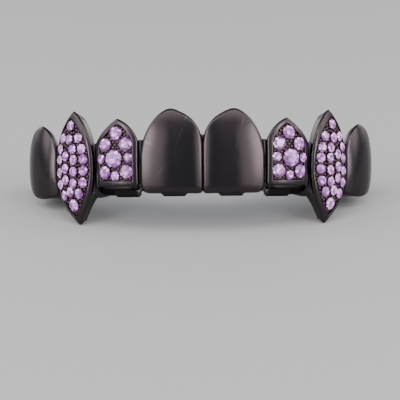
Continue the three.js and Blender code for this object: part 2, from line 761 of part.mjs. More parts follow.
// The piece that fills a fang's pocket: a thin bed with its stones and beads.
function pave(cap) {
  const stones = stonesOf(cap, FANG_STONES);
  const outline = inset(pocketOutline(cap), FIT);
  const bed = solid(facePlate(cap, outline, [[0, POCKET]], () => POCKET + BED, 2));
  const set = stones.map((s) => placed(stone(s.size), onFace(cap, s.x, s.z, STONE_SINK)));
  const top = solid(facePlate(cap, outline, [[0, -BEZEL]], () => POCKET + BED - FIT, 2));
  return tidied(bed.add(union([...set, ...beads(cap, stones, 0)]).intersect(top)));
}

// The casting

function casting() {
  const lateral = CAPS.findIndex((cap) => cap.name === "lateral");
  const fang = CAPS.findIndex((cap) => cap.name === "fang");
  const plates = CAPS.map((cap, i) => placed(frontPlate(cap), capPlace(i)));
  const bars = JOINTS.slice(1, -1).map((at, i) => placed(bar(at), jointPlace(i + 1)));
  const outer = union([
    ...plates,
    ...bars,
    placed(pad(CAPS[0]), capPlace(0)),
    placed(blade(CAPS[fang]), capPlace(fang)),
  ]);

  const stones = stonesOf(CAPS[lateral], LATERAL_STONES);
  const seats = stones.map((s) => {
    return placed(stone(s.size, FIT, STONE_SINK + BEZEL), onFace(CAPS[lateral], s.x, s.z, STONE_SINK));
  });
  const setting = placed(
    pocket(CAPS[lateral], POCKET).subtract(union(beads(CAPS[lateral], stones, FIT))).add(union(seats)),
    capPlace(lateral),
  );
  const cuts = setting.add(placed(pocket(CAPS[fang], POCKET + BED + FIT), capPlace(fang)));

  const both = (made) => made.add(made.mirror([1, 0, 0]));
  const whole = union([both(outer), placed(bar(JOINTS[0]), jointPlace(0)), sweep(outerSection, 0)]);
  const channel = sweep(innerSection, END_WALL / (width(CAPS[CAPS.length - 1]) / 2));
  return tidied(whole.subtract(channel).subtract(both(cuts)));
}

function named(name, geometry, material) {
  const mesh = new THREE.Mesh(geometry, material);
  mesh.name = name;
  return mesh;
}

// All pieces as worn, with the biting edge level and the fang tips at height 0.
function worn() {
  const group = new THREE.Group();
  group.add(named("cap_frame", geometryOf(casting()), METAL));

  const pieces = [];
  CAPS.forEach((cap, i) => {
    if (cap.name === "lateral") {
      for (const s of stonesOf(cap, LATERAL_STONES)) {
        const made = placed(placed(stone(s.size), onFace(cap, s.x, s.z, STONE_SINK)), capPlace(i));
        pieces.push([`stone_${s.name}`, geometryOf(made)]);
      }
    }
    if (cap.name === "fang") {
      pieces.push(["fang_pave", geometryOf(placed(pave(cap), capPlace(i)))]);
    }
  });
  for (const [name, geometry] of pieces) {
    group.add(named(`${name}_right`, geometry, STONE));
    group.add(named(`${name}_left`, mirrored(geometry), STONE));
  }
  return group;
}

// Lets the worn denture tip back from its fang tips until its rear corners touch too, and puts the origin
// under the middle of its box.
function rested(group) {
  const points = [];
  group.updateMatrixWorld(true);
  group.traverse((o) => {
    if (o.isMesh) {
      const at = o.geometry.attributes.position;
      for (let i = 0; i < at.count; i++) {
        points.push(new THREE.Vector3().fromBufferAttribute(at, i));
      }
    }
  });
  const middle = new THREE.Box3().setFromPoints(points).getCenter(new THREE.Vector3());
  const front = points.filter((p) => p.y < middle.y);
  const rear = points.filter((p) => p.y > middle.y);
  let tilt = 0;
  for (let i = 0; i < SETTLE_STEPS; i++) {
    const height = (p) => p.z * Math.cos(tilt) - p.y * Math.sin(tilt);
    const tip = front.reduce((low, p) => (height(p) < height(low) ? p : low));
    tilt = Math.min(...rear.map((p) => Math.atan2(p.z - tip.z, p.y - tip.y)));
  }
  group.rotation.x = -tilt;
  const outer = new THREE.Group();
  outer.add(group);
  outer.updateMatrixWorld(true);
  const box = new THREE.Box3().setFromObject(outer, true);
  const foot = box.getCenter(new THREE.Vector3());
  group.position.set(-foot.x, -foot.y, -box.min.z);
  return outer;
}

export default rested(worn());
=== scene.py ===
import math
import random

import bmesh
import bpy
import numpy as np
from mathutils import Matrix, Vector


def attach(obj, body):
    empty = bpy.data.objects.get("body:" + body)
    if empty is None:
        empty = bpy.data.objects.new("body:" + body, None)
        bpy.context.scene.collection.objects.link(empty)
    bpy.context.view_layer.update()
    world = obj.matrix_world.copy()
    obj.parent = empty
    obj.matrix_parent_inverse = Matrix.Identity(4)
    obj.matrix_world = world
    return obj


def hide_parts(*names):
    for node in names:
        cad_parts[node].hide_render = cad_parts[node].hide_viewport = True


MM = 0.001
SEED = 7
TINY = 1e-12
TOLERANCE = 1e-9

# Main sizes, in millimetres
CAP_PITCH = 9.0  # width of a central cap with its groove
CAP_HEIGHT = 12.25  # of a central cap's face
FANG_DROP = 4.4  # from the centrals' biting edge down to the fang tips
CHANNEL_DEPTH = 6.9  # behind a central cap

# Walls of the casting
PLAIN_PLATE = 1.3  # thickness of a front plate without stones
SET_PLATE = 1.9  # of one with stones
PLATE_TIP = 1.5  # of a fang's plate at its tip
TIP_REACH = 4.5  # height over which a fang's plate thins towards its tip
TIP_POWER = 1.5
BACK_WALL = 1.0
FLOOR = 1.0
CUT_IN = 0.1  # how far the channel is cut into the backs of the plates
PLATE_OVERLAP = 0.5  # share of a plate's thickness at which the body behind it starts

# How a face falls away from its fullest point, which lies at a share of its height
FACE_MIDDLE = 0.45
FALL_POWER = 2.2
FALL_LIMIT = 1.06  # share of the half width past which it falls no further

# How it falls away to its two sides, the midline's first: shares of its bulge, and powers
CENTRAL_BULGE = ((0.5, 5), (1, 1.9))
PLAIN_BULGE = ((1, 2.4), (1, 2.4))
BITE_ROLL = 0.3  # how far a central's face rolls under at its biting edge
BITE_REACH = 1.0  # height over which it does so

# Edges
PLAIN_DRAFT = 0.4  # how much narrower a plate's back is than its face, on each side
SET_DRAFT = 0.6
GROOVE = 0.32  # between two caps
RIM = 0.32  # rounding of a plain plate's front edge
BEZEL_RIM = 0.28  # rounding of a bezel's outer edge
BEZEL_LIP = 0.13  # rounding of a bezel's inner edge
BACK_EDGE = 0.22  # rounding of a plate's back edge
WALL_EDGE = 0.3  # rounding of the channel's open edge
CORNER_SOFTNESS = 0.11  # how far an outline's corners are rounded off
POCKET_SOFTNESS = 0.7 * CORNER_SOFTNESS
CASTING_CREASE = 32  # degrees at which an edge stays sharp
BEAD_CREASE = 50
FACE_WEIGHT = 60  # of the larger faces in the smooth normals

# Stone settings
BEZEL = 0.76  # width of its band
POCKET = 0.42  # depth of the bed in which the stones stand
STONE_SINK = 0.12  # of a stone's girdle under the face
STONE_LARGE = 2.6
STONE_MEDIUM = 1.95
STONE_SMALL = 1.38
STONE_PAVE = 1.5
SEAT_GAP = 0.05
SEAT_CLEARANCE = 1.6 * SEAT_GAP  # under the stone's point
SEAT_TIP = 0.03
SEAT_SIDES = 24
BEAD_LARGEST = 0.27
BEAD_SMALLEST = 0.1
BEAD_SPACING = 0.42
BEAD_CLOSENESS = 0.8  # share of two beads' radii that is kept between them, with the gap
BEAD_GAP = 0.1
BEAD_GRID = 0.06  # step of the grid on which free places are looked for
BEAD_OVERLAP = 0.07  # how far a bead reaches over the stones beside it
BEAD_RISE = 0.3
BEAD_VARIETY = (0.85, 1.1)
BEAD_FOOT = -0.1
BEAD_COLLAR = 0.45  # share of the rise that is upright, under the dome
BEAD_DOME = [25, 50, 75]  # degrees
BEAD_SIDES = 14

# A brilliant cut, as shares of its diameter
CROWN = 0.16
GIRDLE = 0.05
PAVILION = 0.42
SOLID_PAVILION = 0.36
TABLE = 0.56
STAR = 0.4  # radius of the star facets' outer corners
HALVES = 0.11  # radius at which the lower halves end
GIRDLE_RADIUS = 0.5

# Channel for the wearer's teeth
SOCKET_REACH = 1.2 * (FANG_DROP + CAP_HEIGHT)
SCALLOP_POWER = 2.6  # how late along a cap the open edge drops towards the joint
RIDGE = 0.7  # height of the floor's ridge at a joint
RIDGE_POWER = 1.6
LEVEL_SHARE = 0.42  # place along a cap where its level floor ends
END_STATIONS = [0.62, 0.68, 0.73, 0.78, 0.82, 0.85, 0.88]
END_STATION_GAP = 0.03
END_RINGS = (0.85, 0.65, 0.4, 0.15)  # inside the end walls, as shares of their outline
END_WALL = 1.05
SECTION = [[0.45, 0], [0.7, 0.2], [0.88, 0.52], [0.97, 1], [1, 1.7]]  # shares of depth and rise
SECTION_BEYOND = [1, 2.4]  # the point that its last run is heading for
SECTION_STEPS = 5
STATIONS_PER_CAP = 18
OUTER_HEIGHTS = 19
INNER_HEIGHTS = 24
SIDE_HEIGHTS = 4
JOINT_BLEND = 0.8  # place along a cap where its front starts to turn into the joint
JOINT_RECESS = 0.14
JOINT_WEB = 1.2

# Round bars at the joints
BAR_RADIUS = 0.5
BAR_END_ANGLES = [10, 35, 60, 90]  # degrees
BAR_SHARES = (0.25, 0.5, 0.75)
BAR_SIDES = 32

# Solid blade behind a fang's lower half: its height in shares of FANG_DROP and its reach back in shares of
# the channel's depth there
BLADE_HEIGHTS = [0.13, 0.227, 0.591, 0.841, 1.09, 1.364]
BLADE_REACHES = [0.15, 0.17, 0.27, 0.37, 0.6, 0.75]
BLADE_LEVELS = 16
BLADE_INSET = 0.35
BLADE_POWER = 2.6
BLADE_TAPER = 0.7

# Painted shade and tarnish that darken the hollow behind the front plates, in depth behind them
RECESS_START = 0.35  # where it is fully dark
RECESS_UNDER = 0.1  # the same, under them
RECESS_BESIDE = 0.35  # how far a plate counts past its half width
RECESS_END = 4.2  # where it has faded out
RECESS_FADE = 1.6

# Rings of a front plate: how many there are, or the shares at which they lie
PLATE_RINGS = 20
PLATE_CROWDING = 2.5  # how strongly they crowd towards the rim
LEAST_TURN = 0.004  # radians between two of its spokes
BED_RINGS = (0.06, 0.3, 0.6, 0.85, 0.97)
LIP_RINGS = (0.0, 0.5)
BEZEL_RINGS = 13
FLANK_RINGS = (0.35, 0.7)
BACK_EDGE_ANGLES = [0, 30, 60, 90]  # degrees
BACK_RINGS = (0.8, 0.6, 0.4, 0.2, 0.06)

# Biting pads: sides along the cap from its middle, height of the foot over the fang tips, and how far the
# foot lies behind the fullest point of the face
PADS = {
    "central": dict(left=-2.05, right=1.15, foot=4.04, setback=0.75),
    "lateral": dict(left=-3.4, right=0.0, foot=3.95, setback=0.85),
}
PAD_SPREAD = 0.3  # of each side, from its foot up to the edge of the cap
PAD_SLOPE = 0.36  # height at which its sides reach that edge
PAD_RISE = 1.0
PAD_DEPTH = 1.7
PAD_EDGE = 0.12
PAD_EDGE_CUT = 0.3 * PAD_EDGE

# Outlines in shares: u is -1 at the midline's side and 1 at the far side, v is 0 at the bottom and 1 at the
# top. Each is a closed chain of runs. A run is a straight line to its only point, or a curve that two points
# pull on its way to the third.
CENTRAL_OUTLINE = [
    ((0.72, 0.005),),
    ((0.93, 0.008), (1.03, 0.05), (1.03, 0.16)),
    ((1.03, 0.45),),
    ((0.96, 0.68), (0.68, 0.9), (0.17, 0.986)),
    ((0.07, 1.001), (-0.05, 1.001), (-0.15, 0.986)),
    ((-0.55, 0.925), (-1.0, 0.85), (-1.055, 0.56)),
    ((-1.055, 0.07),),
    ((-1.055, 0.025), (-1.0, 0), (-0.9, 0)),
]
LATERAL_OUTLINE = [
    ((0.8, 0.005),),
    ((0.86, 0.01), (0.88, 0.03), (0.9, 0.07)),
    ((1, 0.62),),
    ((0.98, 0.67), (0.6, 0.86), (-0.03, 1)),
    ((-0.45, 0.965), (-0.9, 0.82), (-1, 0.66)),
    ((-1, 0.05),),
    ((-1, 0.02), (-0.98, 0.005), (-0.93, 0.005)),
]
FANG_OUTLINE = [
    ((-0.24, -0.004), (-0.13, -0.004), (-0.09, 0.008)),
    ((0.1, 0.085), (1.03, 0.19), (1, 0.58)),
    ((1, 0.75), (0.5, 0.91), (0.07, 1)),
    ((-0.45, 0.96), (-1, 0.76), (-1, 0.52)),
    ((-1.1, 0.27), (-0.5, 0.1), (-0.26, 0.012)),
]
FANG_POCKET = [
    ((0.12, 0.12), (0.88, 0.215), (0.9, 0.57)),
    ((0.9, 0.74), (0.55, 0.88), (0.15, 0.935)),
    ((-0.3, 0.88), (-0.9, 0.72), (-0.9, 0.48)),
    ((-0.9, 0.3), (-0.46, 0.16), (-0.09, 0.063)),
]
PREMOLAR_OUTLINE = [
    ((-0.4, -0.01), (0.3, -0.02), (0.62, 0.06)),
    ((0.9, 0.13), (1, 0.26), (1, 0.4)),
    ((1, 0.7), (0.6, 0.98), (0.05, 1)),
    ((-0.4, 1), (-0.92, 0.84), (-1, 0.6)),
    ((-1, 0.16),),
    ((-1, 0.08), (-0.95, 0.05), (-0.8, 0.035)),
]

PLAIN_WALL = dict(plate=PLAIN_PLATE, draft=PLAIN_DRAFT, rim=RIM)
SET_WALL = dict(plate=SET_PLATE, draft=SET_DRAFT, rim=BEZEL_RIM)

# The caps of one side in shares, from the midline outwards, with yaw in degrees round the arch.
# Shares of CAP_PITCH: pitch, proud and bulge.
# Shares of CAP_HEIGHT: height, fall_top and fall_bottom, and bottom, base and crown, which are counted from
# the centrals' biting edge.
# Shares of CHANNEL_DEPTH: depth and rise.
# drop is the share of FANG_DROP by which a face hangs under its bottom.
CAP_SHARES = [
    dict(
        name="central", outline=CENTRAL_OUTLINE, pitch=1, yaw=4, bottom=0, drop=0, height=1,
        proud=0.039, bulge=0.094, fall_top=0.09, fall_bottom=0.029,
        depth=1, base=0.004, crown=0.637, rise=0.348, **PLAIN_WALL,
    ),
    dict(
        name="lateral", outline=LATERAL_OUTLINE, pitch=0.789, yaw=27, bottom=0.086, drop=0, height=0.8,
        proud=0.061, bulge=0.067, fall_top=0.041, fall_bottom=0.016,
        depth=1, base=-0.016, crown=0.629, rise=0.319, **SET_WALL,
    ),
    dict(
        name="fang", outline=FANG_OUTLINE, pitch=0.867, yaw=46, bottom=0, drop=1, height=0.988,
        proud=0.078, bulge=0.094, fall_top=0.073, fall_bottom=0.098,
        depth=1.072, base=-0.041, crown=0.629, rise=0.188, **SET_WALL,
    ),
    dict(
        name="premolar", outline=PREMOLAR_OUTLINE, pitch=0.833, yaw=54, bottom=-0.053, drop=0, height=0.878,
        proud=0.044, bulge=0.122, fall_top=0.065, fall_bottom=0.057,
        depth=1.116, base=-0.045, crown=0.62, rise=0.101, **PLAIN_WALL,
    ),
]
JOINT_SHARES = [
    dict(depth=0.884, base=0.049, crown=0.571, rise=0.319, bar=(0.041, 0.694)),
    dict(depth=0.87, base=0.065, crown=0.571, rise=0.304, bar=(0.073, 0.637)),
    dict(depth=0.884, base=0.041, crown=0.563, rise=0.232, bar=(0.073, 0.612)),
    dict(depth=0.942, base=0.008, crown=0.563, rise=0.145, bar=(0.041, 0.58)),
    dict(depth=0.638, base=0.082, crown=0.522, rise=0.116, bar=()),
]


def over_tips(share):
    """Height over the fang tips of a share of CAP_HEIGHT counted from the centrals' biting edge."""
    return FANG_DROP + share * CAP_HEIGHT


def channel_sizes(row):
    return dict(
        depth=row["depth"] * CHANNEL_DEPTH, base=over_tips(row["base"]),
        crown=over_tips(row["crown"]), rise=row["rise"] * CHANNEL_DEPTH,
    )


def cap_sizes(row):
    sizes = {key: row[key] * CAP_PITCH for key in ("pitch", "proud", "bulge")}
    sizes |= {key: row[key] * CAP_HEIGHT for key in ("fall_top", "fall_bottom")}
    sizes["bottom"] = over_tips(row["bottom"]) - row["drop"] * FANG_DROP
    sizes["height"] = row["height"] * CAP_HEIGHT + row["drop"] * FANG_DROP
    return {**row, **channel_sizes(row), **sizes}


CAPS = [cap_sizes(row) for row in CAP_SHARES]
JOINTS = [
    dict(channel_sizes(row), bar=[over_tips(end) for end in row["bar"]])
    for row in JOINT_SHARES
]
CENTRAL, LATERAL, FANG = 0, 1, 2

# Stones as shares of a cap's half width and height
LATERAL_STONES = [
    dict(name="top", u=-0.035, v=0.785, size=STONE_MEDIUM),
    dict(name="upper_far", u=0.465, v=0.615, size=STONE_MEDIUM),
    dict(name="upper_near", u=-0.505, v=0.62, size=STONE_MEDIUM),
    dict(name="centre", u=0.035, v=0.41, size=STONE_LARGE),
    dict(name="side_far", u=0.67, v=0.41, size=STONE_SMALL),
    dict(name="side_near", u=-0.62, v=0.425, size=STONE_SMALL),
    dict(name="lower_far", u=0.5, v=0.21, size=STONE_MEDIUM),
    dict(name="lower_middle", u=-0.005, v=0.155, size=STONE_SMALL),
    dict(name="lower_near", u=-0.535, v=0.22, size=STONE_MEDIUM),
]
FANG_PLACES = [
    (0.12, 0.872), (0.53, 0.762), (0.13, 0.753), (-0.36, 0.763), (0.69, 0.668), (-0.09, 0.664),
    (-0.55, 0.665), (0.32, 0.605), (0.72, 0.57), (-0.16, 0.571), (-0.64, 0.574), (0.32, 0.495),
    (0.72, 0.458), (-0.16, 0.467), (-0.65, 0.475), (0.3, 0.394), (0.67, 0.354), (-0.13, 0.363),
    (-0.61, 0.37), (0.43, 0.259), (0.06, 0.285), (-0.4, 0.273),
]
FANG_TIP_STONE = dict(u=-0.07, v=0.169, size=1.22 * STONE_PAVE)
FANG_STONES = [dict(u=u, v=v, size=STONE_PAVE) for u, v in FANG_PLACES] + [FANG_TIP_STONE]
SET_CAPS = ((LATERAL, LATERAL_STONES), (FANG, FANG_STONES))


# Plane curves

CURVE_SPACING = 0.1
LEAST_POINTS = 24
LOOP_SHARE = 0.985  # a moved point is kept past this share of the distance
BLOCK = 2000  # points handled at a time


def drawn(outline, steps=24):
    points = []
    start = outline[-1][-1]
    for run in outline:
        ends = np.array([start, *run], float)
        t = (np.arange(steps) / steps)[:, None]
        if len(ends) == 2:
            points.append(ends[0] + (ends[1] - ends[0]) * t)
        else:
            points.append(
                ends[0] * (1 - t) ** 3 + 3 * ends[1] * t * (1 - t) ** 2
                + 3 * ends[2] * t**2 * (1 - t) + ends[3] * t**3
            )
        start = run[-1]
    return np.concatenate(points)


def width(cap):
    return cap["pitch"] - GROOVE


def in_millimetres(cap, points):
    points = np.asarray(points, float)
    return np.stack([points[:, 0] * width(cap) / 2, cap["bottom"] + points[:, 1] * cap["height"]], 1)


def evenly(curve, spacing):
    """The closed curve with points at even distances."""
    closed = np.vstack([curve, curve[:1]])
    lengths = np.concatenate([[0], np.cumsum(np.linalg.norm(np.diff(closed, axis=0), axis=1))])
    count = max(LEAST_POINTS, int(round(lengths[-1] / spacing)))
    at = np.arange(count) * lengths[-1] / count
    return np.stack([np.interp(at, lengths, closed[:, k]) for k in (0, 1)], 1)


def softened(curve, softness):
    """The closed curve with its corners rounded off."""
    even = evenly(curve, CURVE_SPACING)
    for _ in range(int(round(2 * (softness / CURVE_SPACING) ** 2))):
        even = (np.roll(even, 1, 0) + 2 * even + np.roll(even, -1, 0)) / 4
    return even


def outline_of(cap):
    return softened(in_millimetres(cap, drawn(cap["outline"])), CORNER_SOFTNESS)


def inset(curve, distance):
    """The closed curve moved inwards, without the loops that form at its corners."""
    tangent = np.roll(curve, -1, 0) - np.roll(curve, 1, 0)
    tangent /= np.linalg.norm(tangent, axis=1)[:, None]
    moved = curve + distance * np.stack([-tangent[:, 1], tangent[:, 0]], 1)
    kept = moved[distances(moved, curve) > distance * LOOP_SHARE]
    return evenly(kept, CURVE_SPACING)


def pocket_of(cap):
    if cap["name"] == "fang":
        return softened(in_millimetres(cap, drawn(FANG_POCKET)), POCKET_SOFTNESS)
    return softened(inset(outline_of(cap), BEZEL), POCKET_SOFTNESS)


def distances(points, curve):
    """Distance of each point from a closed curve."""
    start = curve
    along = np.roll(curve, -1, 0) - start
    square = np.maximum((along**2).sum(1), TINY)
    least = np.full(len(points), np.inf)
    for block in range(0, len(points), BLOCK):
        part = points[block:block + BLOCK]
        t = ((part[:, None, :] - start[None]) * along[None]).sum(2) / square
        near = start[None] + along[None] * np.clip(t, 0, 1)[..., None]
        least[block:block + BLOCK] = np.sqrt(((part[:, None, :] - near) ** 2).sum(2)).min(1)
    return least


def reach(curve, middle, angles):
    """Distance from the middle to the closed curve in each direction."""
    start = curve - middle
    along = np.roll(curve, -1, 0) - curve
    ray = np.stack([np.cos(angles), np.sin(angles)], 1)
    cross = ray[:, None, 0] * along[None, :, 1] - ray[:, None, 1] * along[None, :, 0]
    cross = np.where(np.abs(cross) < TINY, TINY, cross)
    far = (start[None, :, 0] * along[None, :, 1] - start[None, :, 1] * along[None, :, 0]) / cross
    share = (start[None, :, 0] * ray[:, None, 1] - start[None, :, 1] * ray[:, None, 0]) / cross
    hit = (share >= -TOLERANCE) & (share <= 1 + TOLERANCE) & (far > 0)
    return np.where(hit, far, -np.inf).max(1)


def inside(points, curve):
    x, z = points[:, 0][:, None], points[:, 1][:, None]
    a, b = curve, np.roll(curve, -1, 0)
    crosses = (a[:, 1] <= z) != (b[:, 1] <= z)
    rise = np.where(b[:, 1] == a[:, 1], 1, b[:, 1] - a[:, 1])
    at = a[:, 0] + (b[:, 0] - a[:, 0]) * (z - a[:, 1]) / rise
    return (crosses & (x < at)).sum(1) % 2 == 1


def rounding(distance, radius):
    """How far a rounded edge falls away, at a distance from it."""
    short = np.clip(radius - distance, 0, radius)
    return radius - np.sqrt(np.maximum(radius**2 - short**2, 0))


# Surfaces

def linked(name, data):
    made = bpy.data.objects.new(name, data)
    bpy.context.scene.collection.objects.link(made)
    return made


def mesh_object(name, points, faces):
    mesh = bpy.data.meshes.new(name)
    mesh.from_pydata(np.asarray(points).tolist(), [], faces)
    return linked(name, mesh)


def loft(name, rings):
    """A closed surface through rings of equally many points. Each end is closed by a fan."""
    count = len(rings[0])
    points = [rings[0].mean(0)[None], *rings, rings[-1].mean(0)[None]]
    sides = [(k, (k + 1) % count) for k in range(count)]
    faces = [[0, 1 + b, 1 + a] for a, b in sides]
    for k in range(len(rings) - 1):
        low, high = 1 + k * count, 1 + (k + 1) * count
        faces += [[low + a, low + b, high + b, high + a] for a, b in sides]
    last = 1 + (len(rings) - 1) * count
    tip = last + count
    faces += [[tip, last + a, last + b] for a, b in sides]
    made = mesh_object(name, np.concatenate(points), faces)
    faced_out(made)
    return made


def faced_out(made):
    edit = bmesh.new()
    edit.from_mesh(made.data)
    bmesh.ops.triangulate(edit, faces=[f for f in edit.faces if len(f.verts) > 4])
    if edit.calc_volume(signed=True) < 0:
        bmesh.ops.reverse_faces(edit, faces=edit.faces)
    edit.to_mesh(made.data)
    edit.free()


def turned(name, profile, sides, behind=0.0):
    """A round body on an upright axis, through the radii and heights of its profile."""
    around = np.linspace(0, 2 * np.pi, sides, endpoint=False)
    return loft(name, [
        np.stack([r * np.cos(around), behind + r * np.sin(around), np.full(sides, z)], 1)
        for r, z in profile
    ])


MIRROR = Matrix.Scale(-1, 4, (1, 0, 0))


def moved(made, matrix):
    made.data.transform(matrix)
    return made


def mirrored(made):
    made.data.transform(MIRROR)
    made.data.flip_normals()
    return made


def mirror_copy(made):
    return mirrored(linked(made.name + "_left", made.data.copy()))


def combined(base, tools, operation):
    """The base joined with or cut by the tools, which are used up."""
    for tool in tools:
        step = base.modifiers.new(tool.name, "BOOLEAN")
        step.operation = operation
        step.solver = "MANIFOLD"
        step.object = tool
    whole = bpy.data.meshes.new_from_object(
        base.evaluated_get(bpy.context.evaluated_depsgraph_get())
    )
    base.modifiers.clear()
    base.data = whole
    for tool in tools:
        bpy.data.objects.remove(tool)
    return base


def joined(name, parts):
    edit = bmesh.new()
    for part in parts:
        edit.from_mesh(part.data)
    mesh = bpy.data.meshes.new(name)
    edit.to_mesh(mesh)
    edit.free()
    for part in parts:
        bpy.data.objects.remove(part)
    return linked(name, mesh)


# Caps, in frames where x runs across the face, away from the midline, y into the mouth, and z up

def face_depth(cap, x, z):
    """How far the face lies behind its fullest point."""
    middle = cap["bottom"] + FACE_MIDDLE * cap["height"]
    up = np.maximum(0, z - middle) / ((1 - FACE_MIDDLE) * cap["height"])
    down = np.maximum(0, middle - z) / (FACE_MIDDLE * cap["height"])
    side = np.abs(x) / (width(cap) / 2)
    near, far = CENTRAL_BULGE if cap["name"] == "central" else PLAIN_BULGE
    share, power = (np.where(np.asarray(x) < 0, a, b) for a, b in zip(near, far))
    fall = cap["bulge"] * share * np.minimum(side, FALL_LIMIT) ** power
    if cap["name"] == "central":
        fall = fall + BITE_ROLL * np.clip(1 - (z - cap["bottom"]) / BITE_REACH, 0, 1) ** 2
    return fall + cap["fall_top"] * up**FALL_POWER + cap["fall_bottom"] * down**FALL_POWER


def plate_depth(cap, z):
    """Thickness of the front plate."""
    tip = np.clip(1 - (z - cap["bottom"]) / TIP_REACH, 0, 1) if cap["name"] == "fang" else 0 * z
    return cap["plate"] + (PLATE_TIP - cap["plate"]) * tip**TIP_POWER


def towards_edge(count, sharp):
    """Shares from 0 to 1 that lie closer together towards 1."""
    t = np.linspace(0, 1, count)
    return 1 - (1 - t) ** sharp


def front_plate(cap):
    outline = outline_of(cap)
    middle = outline.mean(0)
    pocket = None
    angles = np.arctan2(*(outline - middle).T[::-1])
    if cap["plate"] == SET_PLATE:
        pocket = pocket_of(cap)
        middle = pocket.mean(0)
        angles = np.concatenate([np.arctan2(*(c - middle).T[::-1]) for c in (outline, pocket[::2])])
    angles = np.sort(angles)
    angles = angles[np.concatenate([[True], np.diff(angles) > LEAST_TURN])]
    ray = np.stack([np.cos(angles), np.sin(angles)], 1)
    outer = middle + ray * reach(outline, middle, angles)[:, None]

    def ring(curve, depth):
        x, z = curve[:, 0], curve[:, 1]
        return np.stack([x, face_depth(cap, x, z) + depth, z], 1)

    rings = []
    if pocket is None:
        for share in towards_edge(PLATE_RINGS, PLATE_CROWDING)[1:]:
            curve = middle + (outer - middle) * share
            rings.append(ring(curve, rounding(distances(curve, outline), cap["rim"])))
    else:
        inner = middle + ray * reach(pocket, middle, angles)[:, None]
        for share in BED_RINGS:
            rings.append(ring(middle + (inner - middle) * share, POCKET))
        for share in LIP_RINGS:
            rings.append(ring(inner, POCKET + (BEZEL_LIP - POCKET) * share))
        for share in (1 - np.cos(np.linspace(0, np.pi, BEZEL_RINGS))) / 2:
            curve = inner + (outer - inner) * share
            edge = rounding(distances(curve, outline), cap["rim"])
            lip = rounding(distances(curve, pocket), BEZEL_LIP)
            rings.append(ring(curve, np.maximum(edge, lip)))
    length = np.linalg.norm(outer - middle, axis=1)[:, None]
    back = middle + (outer - middle) * (1 - cap["draft"] / length)
    depth = plate_depth(cap, back[:, 1])
    for share in FLANK_RINGS:
        fall = cap["rim"] + (depth - BACK_EDGE - cap["rim"]) * share
        rings.append(ring(outer + (back - outer) * share, fall))
    for angle in np.radians(BACK_EDGE_ANGLES):
        drawn_in = BACK_EDGE * (1 - math.cos(angle))
        fall = depth - BACK_EDGE * (1 - math.sin(angle))
        rings.append(ring(middle + (back - middle) * (1 - drawn_in / length), fall))
    for share in BACK_RINGS:
        curve = middle + (back - middle) * share
        rings.append(ring(curve, plate_depth(cap, curve[:, 1])))
    return loft("plate", rings)


def extent(curve, height):
    """The left and right end of a closed curve at a height."""
    a, b = curve, np.roll(curve, -1, 0)
    crosses = (a[:, 1] <= height) != (b[:, 1] <= height)
    a, b = a[crosses], b[crosses]
    x = a[:, 0] + (b[:, 0] - a[:, 0]) * (height - a[:, 1]) / (b[:, 1] - a[:, 1])
    return x.min(), x.max()


def level(face, z, left, right, front, back, power, taper, front_points=12, back_points=25):
    """One level of an upright body: a front that follows a face and a rounded lingual side."""
    x = np.linspace(left, right, front_points)
    fore = np.stack([x, face(x) + front, np.full_like(x, z)], 1)
    angle = np.pi * np.arange(1, back_points + 1) / (back_points + 1)
    across = np.sign(np.cos(angle)) * np.abs(np.cos(angle)) ** (2 / power)
    inward = np.sin(angle) ** (2 / power)
    x = (left + right) / 2 + (right - left) / 2 * across * (1 + (taper - 1) * inward)
    start = np.where(across > 0, face(right), face(left)) + front
    aft = np.stack([x, start + (back - start) * inward, np.full_like(x, z)], 1)
    return np.concatenate([fore, aft])


def blade(cap):
    outline = outline_of(cap)
    rings = []
    for height in np.linspace(BLADE_HEIGHTS[0], BLADE_HEIGHTS[-1], BLADE_LEVELS):
        z = cap["bottom"] + height * FANG_DROP
        left, right = extent(outline, z)
        reach_back = cap["depth"] * np.interp(height, BLADE_HEIGHTS, BLADE_REACHES)
        rings.append(level(
            lambda x: face_depth(cap, x, z), z,
            left=left + BLADE_INSET, right=right - BLADE_INSET,
            front=plate_depth(cap, np.float64(z)) * PLATE_OVERLAP,
            back=reach_back + cap["proud"] + cap["bulge"],
            power=BLADE_POWER, taper=BLADE_TAPER,
        ))
    return loft("blade", rings)


def pad(cap):
    shape = PADS[cap["name"]]
    steps = [
        (0, PAD_EDGE),
        (PAD_EDGE_CUT, PAD_EDGE_CUT),
        (PAD_EDGE, 0),
        (PAD_SLOPE, -PAD_SPREAD),
        (PAD_RISE, -PAD_SPREAD),
    ]
    rings = []
    for rise, edge in steps:
        cut = max(edge, 0)
        rings.append(level(
            lambda x: 0 * x, shape["foot"] + rise,
            left=shape["left"] + edge, right=shape["right"] - edge,
            front=shape["setback"] + cut, back=shape["setback"] + PAD_DEPTH - cut,
            power=BLADE_POWER, taper=1, front_points=6, back_points=17,
        ))
    return loft("pad", rings)


def bar(joint):
    low, high = joint["bar"]
    end = [
        (BAR_RADIUS * math.sin(angle), low + BAR_RADIUS / 2 * (1 - math.cos(angle)))
        for angle in np.radians(BAR_END_ANGLES)
    ]
    profile = end + [(BAR_RADIUS, low + (high - low) * share) for share in BAR_SHARES]
    profile += [(r, high + low - z) for r, z in reversed(end)]
    return turned("bar", profile, BAR_SIDES, JOINT_RECESS + BAR_RADIUS)


# The arch

def arch_of(caps):
    """Start and end of each cap on the arch line, seen from above."""
    spans = []
    end = np.zeros(2)
    for cap in caps:
        yaw = math.radians(cap["yaw"])
        start = end
        end = start + cap["pitch"] * np.array([math.cos(yaw), math.sin(yaw)])
        spans.append((start, end))
    return spans


ARCH = arch_of(CAPS)


